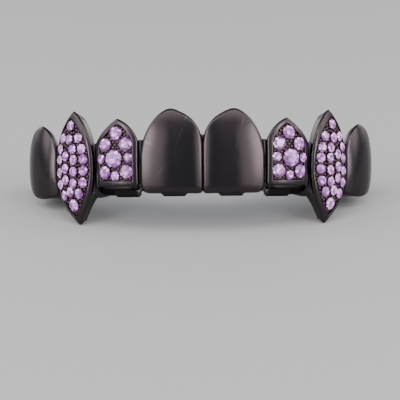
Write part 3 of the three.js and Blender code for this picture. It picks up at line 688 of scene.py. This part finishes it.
def cap_place(i):
    cap = CAPS[i]
    yaw = math.radians(cap["yaw"])
    out = cap["proud"] + cap["bulge"]
    x, y = (ARCH[i][0] + ARCH[i][1]) / 2
    shift = Matrix.Translation((x + out * math.sin(yaw), y - out * math.cos(yaw), 0))
    return shift @ Matrix.Rotation(yaw, 4, "Z")


def joint_place(i):
    yaw = math.radians((CAPS[i - 1]["yaw"] + CAPS[i]["yaw"]) / 2 if i else 0)
    return Matrix.Translation((*ARCH[i][0], 0)) @ Matrix.Rotation(yaw, 4, "Z")


def towards_joint(along):
    return max(0, (abs(along) - LEVEL_SHARE) / (1 - LEVEL_SHARE)) ** RIDGE_POWER


def between(i, along, key):
    """A size of the channel along a cap: along is -1 at its start, 0 at its middle and 1 at its end."""
    joint = JOINTS[i if along < 0 else i + 1]
    share = towards_joint(along) if key == "base" else abs(along) ** SCALLOP_POWER
    return CAPS[i][key] + (joint[key] - CAPS[i][key]) * share


def channel_at(i, along):
    return [between(i, along, key) for key in ("depth", "base", "crown", "rise")]


def plate_surface(i, along, z, share, at_joint):
    """Depth behind the arch line of a surface in the plates, which turns into the joint's at its ends."""
    cap = CAPS[i]
    place = min(abs(along), JOINT_BLEND) * math.copysign(1, along)
    height = np.minimum(z, cap["bottom"] + cap["height"])
    depth = face_depth(cap, place * width(cap) / 2, height)
    depth = depth + share * cap["plate"] - cap["proud"] - cap["bulge"]
    turn = max(0, (abs(along) - JOINT_BLEND) / (1 - JOINT_BLEND))
    return depth + (at_joint - depth) * turn


def station(i, along, section):
    """The section's points, depths and heights, stood across the arch."""
    own = CAPS[i]["yaw"]
    if along < 0:
        beside = CAPS[i - 1]["yaw"] if i else -own
    else:
        beside = CAPS[min(i + 1, len(CAPS) - 1)]["yaw"]
    yaw = math.radians(own + (beside - own) / 2 * abs(along))
    foot = ARCH[i][0] + (ARCH[i][1] - ARCH[i][0]) * (along + 1) / 2
    d, z = section[:, 0], section[:, 1]
    return np.stack([foot[0] - d * math.sin(yaw), foot[1] + d * math.cos(yaw), z], 1)


def lingual_curve():
    """The lingual side of the section as a smooth curve through its points."""
    points = np.array([[0, 0], *SECTION, SECTION_BEYOND], float)
    smooth = []
    for k in range(1, len(points) - 2):
        p0, p1, p2, p3 = points[k - 1:k + 3]
        for t in np.arange(SECTION_STEPS) / SECTION_STEPS:
            smooth.append(0.5 * (
                2 * p1 + (p2 - p0) * t + (2 * p0 - 5 * p1 + 4 * p2 - p3) * t**2
                + (3 * p1 - p0 - 3 * p2 + p3) * t**3
            ))
    smooth.append(points[-2])
    return np.array(smooth)


LINGUAL = lingual_curve()
EDGE_ARC = np.radians(np.linspace(0, 90, 5))


def lingual_side(depth, foot, rise, crown, lean):
    """From the foot, round and up to the crown. The edge there leans in, -1, or out, 1."""
    curve = LINGUAL * [depth, rise] + [0, foot]
    upper = np.linspace(curve[-1, 1], crown - WALL_EDGE, SIDE_HEIGHTS)[1:-1]
    side = np.stack([np.full(len(upper), depth), upper], 1)
    edge = np.stack([
        depth + lean * WALL_EDGE * (1 - np.cos(EDGE_ARC)),
        crown - WALL_EDGE * (1 - np.sin(EDGE_ARC)),
    ], 1)
    return np.concatenate([curve, side, edge])


def outer_section(i, along):
    depth, base, crown, rise = channel_at(i, along)
    heights = np.linspace(crown, base, OUTER_HEIGHTS)
    front = plate_surface(i, along, heights, PLATE_OVERLAP, JOINT_RECESS + BAR_RADIUS)
    lingual = lingual_side(depth, base, rise, crown, -1)
    return np.concatenate([lingual, np.stack([front, heights], 1)])


def inner_section(i, along):
    depth, base, crown, rise = channel_at(i, along)
    floor = base + FLOOR + RIDGE * towards_joint(along)
    share = 1 - CUT_IN / CAPS[i]["plate"]
    heights = np.linspace(SOCKET_REACH, floor, INNER_HEIGHTS)
    front = plate_surface(i, along, heights, share, JOINT_RECESS + JOINT_WEB)
    back = depth - BACK_WALL
    lingual = lingual_side(back, floor, rise, crown, 1)
    top = np.array([[back + WALL_EDGE, SOCKET_REACH]])
    return np.concatenate([lingual, top, np.stack([front, heights], 1)])


def sweep(name, section, drawn_in):
    """The section drawn round the whole arch, its ends brought in by a share of half a cap."""
    last = len(CAPS) - 1
    first_end = END_STATIONS[0] - drawn_in - END_STATION_GAP
    steps = [-1 + 2 * k / STATIONS_PER_CAP for k in range(STATIONS_PER_CAP)]
    places = [(i, along) for i in range(last) for along in steps]
    places += [(last, along) for along in steps if along < first_end]
    places += [(last, along - drawn_in) for along in END_STATIONS]
    rings = [station(i, along, section(i, along)) for i, along in places]
    end = rings[-1]
    rings += [end.mean(0) + (end - end.mean(0)) * share for share in END_RINGS]
    left = [ring * [-1, 1, 1] for ring in rings[1:]]
    return loft(name, left[::-1] + rings)


# Stones

SLOPE_STEP = 0.01
UP = Vector((0, 0, 1))


def on_face(cap, x, z, sink):
    """Stands a shape made along +Z on the face."""
    e = SLOPE_STEP
    slope_x = (face_depth(cap, x + e, z) - face_depth(cap, x - e, z)) / (2 * e)
    slope_z = (face_depth(cap, x, z + e) - face_depth(cap, x, z - e)) / (2 * e)
    outward = Vector((slope_x, -1, slope_z)).normalized()
    foot = Vector((x, float(face_depth(cap, x, z)), z)) - outward * sink
    return Matrix.Translation(foot) @ UP.rotation_difference(outward).to_matrix().to_4x4()


def stones_of(cap, table):
    places = in_millimetres(cap, [(s["u"], s["v"]) for s in table])
    return [dict(name=s.get("name"), size=s["size"], x=x, z=z) for s, (x, z) in zip(table, places)]


def on_circle(radius, angle, z):
    return (radius * math.cos(angle), radius * math.sin(angle), z)


def brilliant():
    """Points and faces of a round brilliant of diameter 1, its girdle round the origin and its table up.

    The table is eight flat wedges, so that each can be given a painted reflection of what lies under it.
    They are the first eight faces. Each eighth then has seven, and the girdle's sixteen are the last.
    """
    top, bottom = GIRDLE / 2, -GIRDLE / 2
    step = math.pi / 4
    star_share = (STAR * math.cos(step / 2) - TABLE / 2) / (GIRDLE_RADIUS - TABLE / 2)
    star_z = top + CROWN * (1 - star_share)
    halves_z = bottom - PAVILION * (1 - HALVES * math.cos(step / 2) / GIRDLE_RADIUS)
    points = [on_circle(TABLE / 2, k * step, top + CROWN) for k in range(8)]
    points += [on_circle(STAR, (k + 0.5) * step, star_z) for k in range(8)]
    points += [on_circle(GIRDLE_RADIUS, k * step / 2, top) for k in range(16)]
    points += [on_circle(GIRDLE_RADIUS, k * step / 2, bottom) for k in range(16)]
    points += [on_circle(HALVES, (k + 0.5) * step, halves_z) for k in range(8)]
    points += [(0, 0, bottom - PAVILION)]
    points += [(0, 0, top + CROWN)]
    table, star, upper, lower, halves, culet, middle = 0, 8, 16, 32, 48, 56, 57
    faces = [[table + k, table + (k + 1) % 8, middle] for k in range(8)]
    for k in range(8):
        after, before = (k + 1) % 8, (k + 7) % 8
        girdle, half, onward = 2 * k, (2 * k + 1) % 16, (2 * k + 2) % 16
        faces.append([table + k, star + k, table + after])
        faces.append([table + k, star + before, upper + girdle, star + k])
        faces.append([star + k, upper + girdle, upper + half])
        faces.append([star + k, upper + half, upper + onward])
        faces.append([halves + k, lower + half, lower + girdle])
        faces.append([halves + k, lower + onward, lower + half])
        faces.append([culet, halves + k, lower + girdle, halves + before])
    for k in range(16):
        after = (k + 1) % 16
        faces.append([upper + k, lower + k, lower + after, upper + after])
    return np.array(points), faces


BRILLIANT = brilliant()


def stone(size, turn):
    points, faces = BRILLIANT
    made = mesh_object("stone", points * size, faces)
    faced_out(made)
    return moved(made, Matrix.Rotation(turn, 4, "Z"))


def seat(size):
    radius = size / 2 + SEAT_GAP
    low = -(PAVILION + GIRDLE / 2) * size - SEAT_CLEARANCE
    girdle = GIRDLE / 2 * size
    return turned("seat", [(SEAT_TIP, low), (radius, -girdle), (radius, girdle)], SEAT_SIDES)


def bead_places(cap, stones):
    """Free places between the stones, widest first."""
    border = pocket_of(cap)
    low, high = border.min(0), border.max(0)
    steps = [np.arange(low[k], high[k], BEAD_GRID) for k in (0, 1)]
    grid = np.stack(np.meshgrid(*steps), -1).reshape(-1, 2)
    grid = grid[inside(grid, border)]
    room = distances(grid, border)
    for s in stones:
        room = np.minimum(room, np.hypot(grid[:, 0] - s["x"], grid[:, 1] - s["z"]) - s["size"] / 2)
    room = room + BEAD_OVERLAP
    kept = []
    for k in np.argsort(-room, kind="stable"):
        if room[k] < BEAD_SMALLEST:
            break
        x, z = grid[k]
        radius = min(BEAD_LARGEST, room[k])
        if all(
            math.hypot(a - x, b - z) > max(BEAD_CLOSENESS * (r + radius) + BEAD_GAP, BEAD_SPACING)
            for a, b, r in kept
        ):
            kept.append((x, z, radius))
    return kept


def bead(radius, rise):
    collar = rise * BEAD_COLLAR
    dome = rise * (1 - BEAD_COLLAR)
    profile = [(radius, BEAD_FOOT), (radius, collar)]
    profile += [
        (radius * math.cos(angle), collar + dome * math.sin(angle))
        for angle in np.radians(BEAD_DOME)
    ]
    return turned("bead", profile, BEAD_SIDES)


# The casting

def casting():
    right = [moved(front_plate(cap), cap_place(i)) for i, cap in enumerate(CAPS)]
    right += [moved(bar(joint), joint_place(i + 1)) for i, joint in enumerate(JOINTS[1:-1])]
    right += [moved(pad(CAPS[i]), cap_place(i)) for i in (CENTRAL, LATERAL)]
    right.append(moved(blade(CAPS[FANG]), cap_place(FANG)))
    tools = right + [mirror_copy(part) for part in right]
    tools.append(moved(bar(JOINTS[0]), joint_place(0)))
    whole = combined(sweep("casting", outer_section, 0), tools, "UNION")
    channel = sweep("channel", inner_section, END_WALL / (width(CAPS[-1]) / 2))
    seats = []
    for i, table in SET_CAPS:
        cap = CAPS[i]
        for s in stones_of(cap, table):
            made = moved(seat(s["size"]), cap_place(i) @ on_face(cap, s["x"], s["z"], STONE_SINK))
            seats += [made, mirror_copy(made)]
    return combined(whole, [channel] + seats, "DIFFERENCE")


# Materials

WORN_METAL = (0.10, 0.088, 0.086, 1)  # plating rubbed at the edges
# painted shade and tarnish behind and under the plates
SHADE_AND_TARNISH_COLOUR = (0.004, 0.0034, 0.0037, 1)
RECESS_ROUGHNESS = 0.42
FLOOR_DARK = (0.29, 0.29, 0.29, 1)
FLOOR_LIGHT = (0.32, 0.32, 0.32, 1)

# Colours of a stone's facets, lavender with painted reflections, from the dimmest tone to a painted glint at
# the brightest
STONE_HUE_AND_PAINTED_LIGHT = [
    (0, (0.02, 0.003, 0.02, 1)),
    (0.35, (0.09, 0.022, 0.10, 1)),
    (0.6, (0.21, 0.058, 0.25, 1)),
    (0.82, (0.48, 0.15, 0.66, 1)),
    (1, (1.0, 0.5, 1.0, 1)),
]


def material(name):
    made = bpy.data.materials.new(name)
    made.use_nodes = True
    tree = made.node_tree
    shader = tree.nodes["Principled BSDF"]

    def add(kind, **values):
        """A node with its settings, or the values of its inputs, which are written with _ for a space."""
        node = tree.nodes.new(kind)
        for key, value in values.items():
            if hasattr(node, key):
                setattr(node, key, value)
            else:
                node.inputs[key.replace("_", " ")].default_value = value
        return node

    place = add("ShaderNodeTexCoord")

    def noise(scale, detail, roughness, vector=place.outputs["Object"]):
        node = add("ShaderNodeTexNoise", Scale=scale, Detail=detail, Roughness=roughness)
        tree.links.new(vector, node.inputs["Vector"])
        return node.outputs["Fac"]

    return made, shader, tree.links.new, add, noise, place.outputs["Object"]


def plate_metal(name, dark, light, roughness, spread):
    """Polished black plating: a slow drift of tone, worn edges, painted shade and tarnish behind the plates
    and faint polishing lines.
    """
    made, shader, link, add, noise, place = material(name)
    shader.inputs["Metallic"].default_value = 1
    tone = add("ShaderNodeMix", data_type="RGBA", A=(*dark, 1), B=(*light, 1))
    link(noise(scale=260, detail=3, roughness=0.6), tone.inputs["Factor"])

    shape = add("ShaderNodeNewGeometry")
    edge = add("ShaderNodeMapRange", From_Min=0.52, From_Max=0.62, To_Max=0.3)
    link(shape.outputs["Pointiness"], edge.inputs["Value"])
    worn = add("ShaderNodeMix", data_type="RGBA", B=WORN_METAL)
    link(edge.outputs["Result"], worn.inputs["Factor"])
    link(tone.outputs["Result"], worn.inputs["A"])
    # painted shade and tarnish: darker and matter behind and under the plates
    depth = add("ShaderNodeAttribute", attribute_name="shade_and_tarnish_mask")
    with_shade_and_tarnish = add("ShaderNodeMix", data_type="RGBA", B=SHADE_AND_TARNISH_COLOUR)
    link(depth.outputs["Fac"], with_shade_and_tarnish.inputs["Factor"])
    link(worn.outputs["Result"], with_shade_and_tarnish.inputs["A"])
    link(with_shade_and_tarnish.outputs["Result"], shader.inputs["Base Color"])

    low, high = roughness - spread, roughness + spread
    rough = add("ShaderNodeMapRange", From_Min=0.3, From_Max=0.7, To_Min=low, To_Max=high)
    link(noise(scale=900, detail=4, roughness=0.65), rough.inputs["Value"])
    matt = add("ShaderNodeMix", data_type="FLOAT", B=RECESS_ROUGHNESS)
    link(depth.outputs["Fac"], matt.inputs["Factor"])
    link(rough.outputs["Result"], matt.inputs["A"])
    link(matt.outputs["Result"], shader.inputs["Roughness"])

    stretch = add("ShaderNodeMapping", Scale=(5200, 5200, 380))
    link(place, stretch.inputs["Vector"])
    fine = add("ShaderNodeBump", Strength=0.03, Distance=0.00003)
    broad = add("ShaderNodeBump", Strength=0.05, Distance=0.00008)
    lines = noise(scale=1, detail=4, roughness=0.7, vector=stretch.outputs["Vector"])
    link(noise(scale=420, detail=2, roughness=0.5), broad.inputs["Height"])
    link(lines, fine.inputs["Height"])
    link(broad.outputs["Normal"], fine.inputs["Normal"])
    link(fine.outputs["Normal"], shader.inputs["Normal"])
    return made


def stone_glass(name):
    """Cut lavender stone: milky and strongly refracting, each facet painted lighter or darker than the next
    as painted reflections and glints.
    """
    made, shader, link, add, noise, _ = material(name)
    # painted reflections and glints: one tone per facet
    tone = add("ShaderNodeAttribute", attribute_name="painted_facet_light")
    ramp = add("ShaderNodeValToRGB")
    stops = ramp.color_ramp.elements
    stops[0].color = STONE_HUE_AND_PAINTED_LIGHT[0][1]
    stops[1].color = STONE_HUE_AND_PAINTED_LIGHT[-1][1]
    for at, colour in STONE_HUE_AND_PAINTED_LIGHT[1:-1]:
        stops.new(at).color = colour
    cloud = noise(scale=2600, detail=2, roughness=0.5)
    shade = add("ShaderNodeMapRange", From_Min=0.3, From_Max=0.7, To_Min=-0.1, To_Max=0.1)
    link(cloud, shade.inputs["Value"])
    both = add("ShaderNodeMath", operation="ADD")
    link(tone.outputs["Fac"], both.inputs[0])
    link(shade.outputs["Result"], both.inputs[1])
    link(both.outputs["Value"], ramp.inputs["Fac"])
    link(ramp.outputs["Color"], shader.inputs["Base Color"])
    rough = add("ShaderNodeMapRange", To_Min=0.03, To_Max=0.14)
    link(cloud, rough.inputs["Value"])
    link(rough.outputs["Result"], shader.inputs["Roughness"])
    shader.inputs["IOR"].default_value = 1.8
    shader.inputs["Transmission Weight"].default_value = 0.15
    return made


def floor_paper(name):
    made, shader, link, add, noise, _ = material(name)
    tone = add("ShaderNodeMix", data_type="RGBA", A=FLOOR_DARK, B=FLOOR_LIGHT)
    link(noise(scale=900, detail=4, roughness=0.6), tone.inputs["Factor"])
    link(tone.outputs["Result"], shader.inputs["Base Color"])
    shader.inputs["Roughness"].default_value = 0.6
    return made


# Pieces

# Painted reflections and glints on a stone's facets, as tones from 0 to 1
TABLE_TONE = 0.76
TABLE_PAINTED_LIGHT_SWING = 0.18  # painted light: between its bright and its dim side
TABLE_SCATTER = (-0.1, 0.1)
STAR_TONES = (0.35, 0.8)
PAINTED_GLINT_SHARE = 0.35  # share of the kites given a painted glint
KITE_TONES = (0.4, 0.85)
CROWN_TONES = ((0.15, 0.85), (0.15, 0.7))  # of the two facets between a kite and the next
UNDER_TONES = (0.1, 0.5)
GIRDLE_TONE = 0.2


def smooth_by_angle(made, degrees):
    mesh = made.data
    mesh.polygons.foreach_set("use_smooth", [True] * len(mesh.polygons))
    edit = bmesh.new()
    edit.from_mesh(mesh)
    limit = math.radians(degrees)
    for edge in edit.edges:
        if len(edge.link_faces) == 2 and edge.calc_face_angle(0) > limit:
            edge.smooth = False
    edit.to_mesh(mesh)
    edit.free()
    even = made.modifiers.new("even", "WEIGHTED_NORMAL")
    even.keep_sharp = True
    even.weight = FACE_WEIGHT


def paint_facet_reflections(made, rng):
    """Painted reflections on each stone's facets: petals with a dark edge and painted glints round a table
    with a painted bright and dim side.
    """
    values = []
    for _ in range(len(made.data.polygons) // len(BRILLIANT[1])):
        # the side from which the table's painted light falls
        painted_light_side = rng.uniform(0, 2 * math.pi)
        for k in range(8):
            swing = TABLE_PAINTED_LIGHT_SWING * math.cos((k + 0.5) * math.pi / 4 - painted_light_side)
            values.append(TABLE_TONE + swing + rng.uniform(*TABLE_SCATTER))
        for _ in range(8):
            values.append(rng.uniform(*STAR_TONES))
            values.append(1 if rng.random() < PAINTED_GLINT_SHARE else rng.uniform(*KITE_TONES))
            values += [rng.uniform(*tones) for tones in CROWN_TONES]
            values += [rng.uniform(*UNDER_TONES)] * 3
        values += [GIRDLE_TONE] * 16
    made.data.attributes.new("painted_facet_light", "FLOAT", "FACE").data.foreach_set("value", values)


def shade_and_tarnish_behind_plates(made):
    """Marks the painted shade and tarnish behind and under the plates: 0 on them, 1 close behind, 0 farther
    back.
    """
    points = np.empty(len(made.data.vertices) * 3)
    made.data.vertices.foreach_get("co", points)
    points = points.reshape(-1, 3)
    points[:, 0] = np.abs(points[:, 0])
    behind = np.ones(len(points))
    for i, cap in enumerate(CAPS):
        place = np.array(cap_place(i).inverted())
        x, y, z = (points @ place[:3, :3].T + place[:3, 3]).T
        half = width(cap) / 2
        height = np.clip(z, cap["bottom"], cap["bottom"] + cap["height"])
        past = y - face_depth(cap, np.clip(x, -half, half), height) - plate_depth(cap, z)
        depth = np.clip(past / RECESS_START, 0, 1)
        under = np.clip((cap["bottom"] - z) / RECESS_UNDER, 0, 1)
        lingual = np.clip((RECESS_END - past) / RECESS_FADE, 0, 1)
        own = np.maximum(depth, under) * lingual
        behind = np.where(np.abs(x) < half + RECESS_BESIDE, np.minimum(behind, own), behind)
    made.data.attributes.new("shade_and_tarnish_mask", "FLOAT", "POINT").data.foreach_set("value", behind)


def finished(made, name, finish, slot, *nodes):
    """Names the piece, lays it on the frame in metres and says what it rides on and stands for."""
    made.name = name
    made.data.name = name
    made.data.materials.clear()
    made.data.materials.append(finish)
    made.data.transform(REST @ Matrix.Scale(MM, 4))
    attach(made, "root")
    if nodes:
        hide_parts(*nodes)


SAMPLES = 4001


def volume_centre(mesh):
    mesh.calc_loop_triangles()
    points = np.empty(len(mesh.vertices) * 3)
    mesh.vertices.foreach_get("co", points)
    corners = np.empty(len(mesh.loop_triangles) * 3, int)
    mesh.loop_triangles.foreach_get("vertices", corners)
    a, b, c = points.reshape(-1, 3)[corners].reshape(-1, 3, 3).transpose(1, 0, 2)
    volumes = np.einsum("ij,ij->i", a, np.cross(b, c))
    return (volumes[:, None] * (a + b + c) / 4).sum(0) / volumes.sum()


def solid_stone_offset():
    """How far the middle of the frame's plain stone lies over its girdle, as a share of its diameter."""
    knots = [-SOLID_PAVILION - GIRDLE / 2, -GIRDLE / 2, GIRDLE / 2, GIRDLE / 2 + CROWN]
    heights = np.linspace(knots[0], knots[-1], SAMPLES)
    areas = np.interp(heights, knots, [0, GIRDLE_RADIUS, GIRDLE_RADIUS, TABLE / 2]) ** 2
    return float((heights * areas).sum() / areas.sum())


def rest_place():
    """Where the worn shapes lie in the frame, found from the middles of the laterals' stones."""
    offset = solid_stone_offset()
    worn, rest = [], []
    for s in stones_of(CAPS[LATERAL], LATERAL_STONES):
        at = cap_place(LATERAL) @ on_face(CAPS[LATERAL], s["x"], s["z"], STONE_SINK)
        middle = at @ Vector((0, 0, offset * s["size"]))
        worn.append(complex(middle.y, middle.z))
        found = volume_centre(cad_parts[f"stone_{s['name']}_right"].data) / MM
        rest.append(complex(found[1], found[2]))
    worn, rest = np.array(worn), np.array(rest)
    turn = np.sum(np.conj(worn - worn.mean()) * (rest - rest.mean()))
    angle = float(np.angle(turn))
    shift = rest.mean() - worn.mean() * np.exp(1j * angle)
    return Matrix.Translation((0, shift.real * MM, shift.imag * MM)) @ Matrix.Rotation(angle, 4, "X")


# Studio, in metres but for the camera's place

CAMERA_WORN = Vector((-7.75, -399.93, 3.48))  # millimetres
CAMERA_AIM = Vector((0.01833, 0.99983, 0))
CAMERA_ROLL = math.radians(0.45)
CAMERA_PIXELS = 2800  # focal length over a pixel of the 400 pixel wide picture
PICTURE = 400
SENSOR = 36  # millimetres
FLOOR_HALF = 3
LIGHT_COLOUR = (1, 0.93, 0.92)
LIGHT_TARGET = Vector((0, -0.002, 0.008))
WORLD_COLOUR = (0.42, 0.49, 0.58, 1)

# Softboxes: azimuth 0 is the camera's side and 90 is +X, and elevation is from the floor
SIDE_BOXES = [
    dict(name="wide", azimuth=42, elevation=24, size=(0.36, 0.34), radiance=2.6),
    dict(name="box", azimuth=49, elevation=23, size=(0.12, 0.26), radiance=12, distance=0.49),
    dict(name="side", azimuth=88, elevation=34, size=(0.3, 0.4), radiance=5),
    dict(name="back", azimuth=138, elevation=14, size=(0.36, 0.24), radiance=3),
]
TOP_BOX = dict(name="top_box", azimuth=0, elevation=66, size=(0.6, 0.2), radiance=5)


def camera():
    data = bpy.data.cameras.new("camera")
    data.sensor_width = SENSOR
    data.lens = SENSOR * CAMERA_PIXELS / PICTURE
    data.clip_start = 0.01
    data.clip_end = 20
    made = linked("camera", data)
    level_right = CAMERA_AIM.cross(UP).normalized()
    right = level_right * math.cos(CAMERA_ROLL) - UP * math.sin(CAMERA_ROLL)
    above = level_right * math.sin(CAMERA_ROLL) + UP * math.cos(CAMERA_ROLL)
    turn = Matrix((right, above, -CAMERA_AIM)).transposed()
    made.matrix_world = REST @ Matrix.Translation(CAMERA_WORN * MM) @ turn.to_4x4()
    bpy.context.scene.camera = made


def softbox(name, azimuth, elevation, size, radiance, distance=0.5):
    """A lit panel that faces the caps."""
    data = bpy.data.lights.new(name, "AREA")
    data.shape = "RECTANGLE"
    data.size, data.size_y = size
    data.energy = radiance * math.pi * size[0] * size[1]
    data.color = LIGHT_COLOUR
    made = linked(name, data)
    a, e = math.radians(azimuth), math.radians(elevation)
    out = Vector((math.sin(a) * math.cos(e), -math.cos(a) * math.cos(e), math.sin(e)))
    turn = out.to_track_quat("Z", "Y").to_matrix().to_4x4()
    made.matrix_world = Matrix.Translation(LIGHT_TARGET + out * distance) @ turn


def studio():
    corners = [(x * FLOOR_HALF, y * FLOOR_HALF, 0) for x, y in ((-1, -1), (1, -1), (1, 1), (-1, 1))]
    floor = mesh_object("floor", corners, [[0, 1, 2, 3]])
    floor.data.materials.append(floor_paper("floor_paper"))
    for side, sign in (("left", -1), ("right", 1)):
        for box in SIDE_BOXES:
            softbox(**{**box, "name": f"{side}_{box['name']}", "azimuth": sign * box["azimuth"]})
    softbox(**TOP_BOX)
    world = bpy.data.worlds.new("world")
    world.use_nodes = True
    background = world.node_tree.nodes["Background"]
    background.inputs["Color"].default_value = WORLD_COLOUR
    background.inputs["Strength"].default_value = 1
    bpy.context.scene.world = world


# The whole

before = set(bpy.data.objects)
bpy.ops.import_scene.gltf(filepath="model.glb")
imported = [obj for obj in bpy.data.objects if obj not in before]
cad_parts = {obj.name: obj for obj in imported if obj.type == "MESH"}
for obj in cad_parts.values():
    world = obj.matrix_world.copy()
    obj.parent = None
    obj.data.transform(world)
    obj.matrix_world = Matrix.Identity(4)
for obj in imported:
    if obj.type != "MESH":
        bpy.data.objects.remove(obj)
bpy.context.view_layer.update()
REST = rest_place()
rng = random.Random(SEED)

black_plate = plate_metal(
    "black_plate", dark=(0.034, 0.0285, 0.031), light=(0.041, 0.0345, 0.037), roughness=0.255, spread=0.02,
)
bead_metal = plate_metal(
    "bead_metal", dark=(0.042, 0.024, 0.031), light=(0.08, 0.048, 0.06), roughness=0.4, spread=0.04,
)
lavender = stone_glass("lavender_stone")

camera()
studio()

frame_piece = casting()
# painted shade and tarnish behind and under the plates
shade_and_tarnish_behind_plates(frame_piece)
smooth_by_angle(frame_piece, CASTING_CREASE)
finished(frame_piece, "cap_casting", black_plate, "black_plate", "cap_frame")

for side in ("right", "left"):
    for index, table in SET_CAPS:
        cap = CAPS[index]
        stones = stones_of(cap, table)
        parts = []
        for s in stones:
            place = cap_place(index) @ on_face(cap, s["x"], s["z"], STONE_SINK)
            made = moved(stone(s["size"], rng.uniform(0, math.pi)), place)
            parts.append(mirrored(made) if side == "left" else made)
        if index == LATERAL:
            for s, made in zip(stones, parts):
                # painted reflections and glints on the facets
                paint_facet_reflections(made, rng)
                piece, node = f"{s['name']}_stone_{side}", f"stone_{s['name']}_{side}"
                finished(made, piece, lavender, "lavender_stone", node)
        else:
            field = joined("field", parts)
            # painted reflections and glints on the facets
            paint_facet_reflections(field, rng)
            finished(field, f"fang_stones_{side}", lavender, "lavender_stone", f"fang_pave_{side}")
        drops = []
        for x, z, radius in bead_places(cap, stones):
            place = cap_place(index) @ on_face(cap, x, z, POCKET)
            drops.append(moved(bead(radius, BEAD_RISE * rng.uniform(*BEAD_VARIETY)), place))
        beads = joined("beads", drops)
        if side == "left":
            mirrored(beads)
        smooth_by_angle(beads, BEAD_CREASE)
        finished(beads, f"{cap['name']}_beads_{side}", bead_metal, "black_plate")
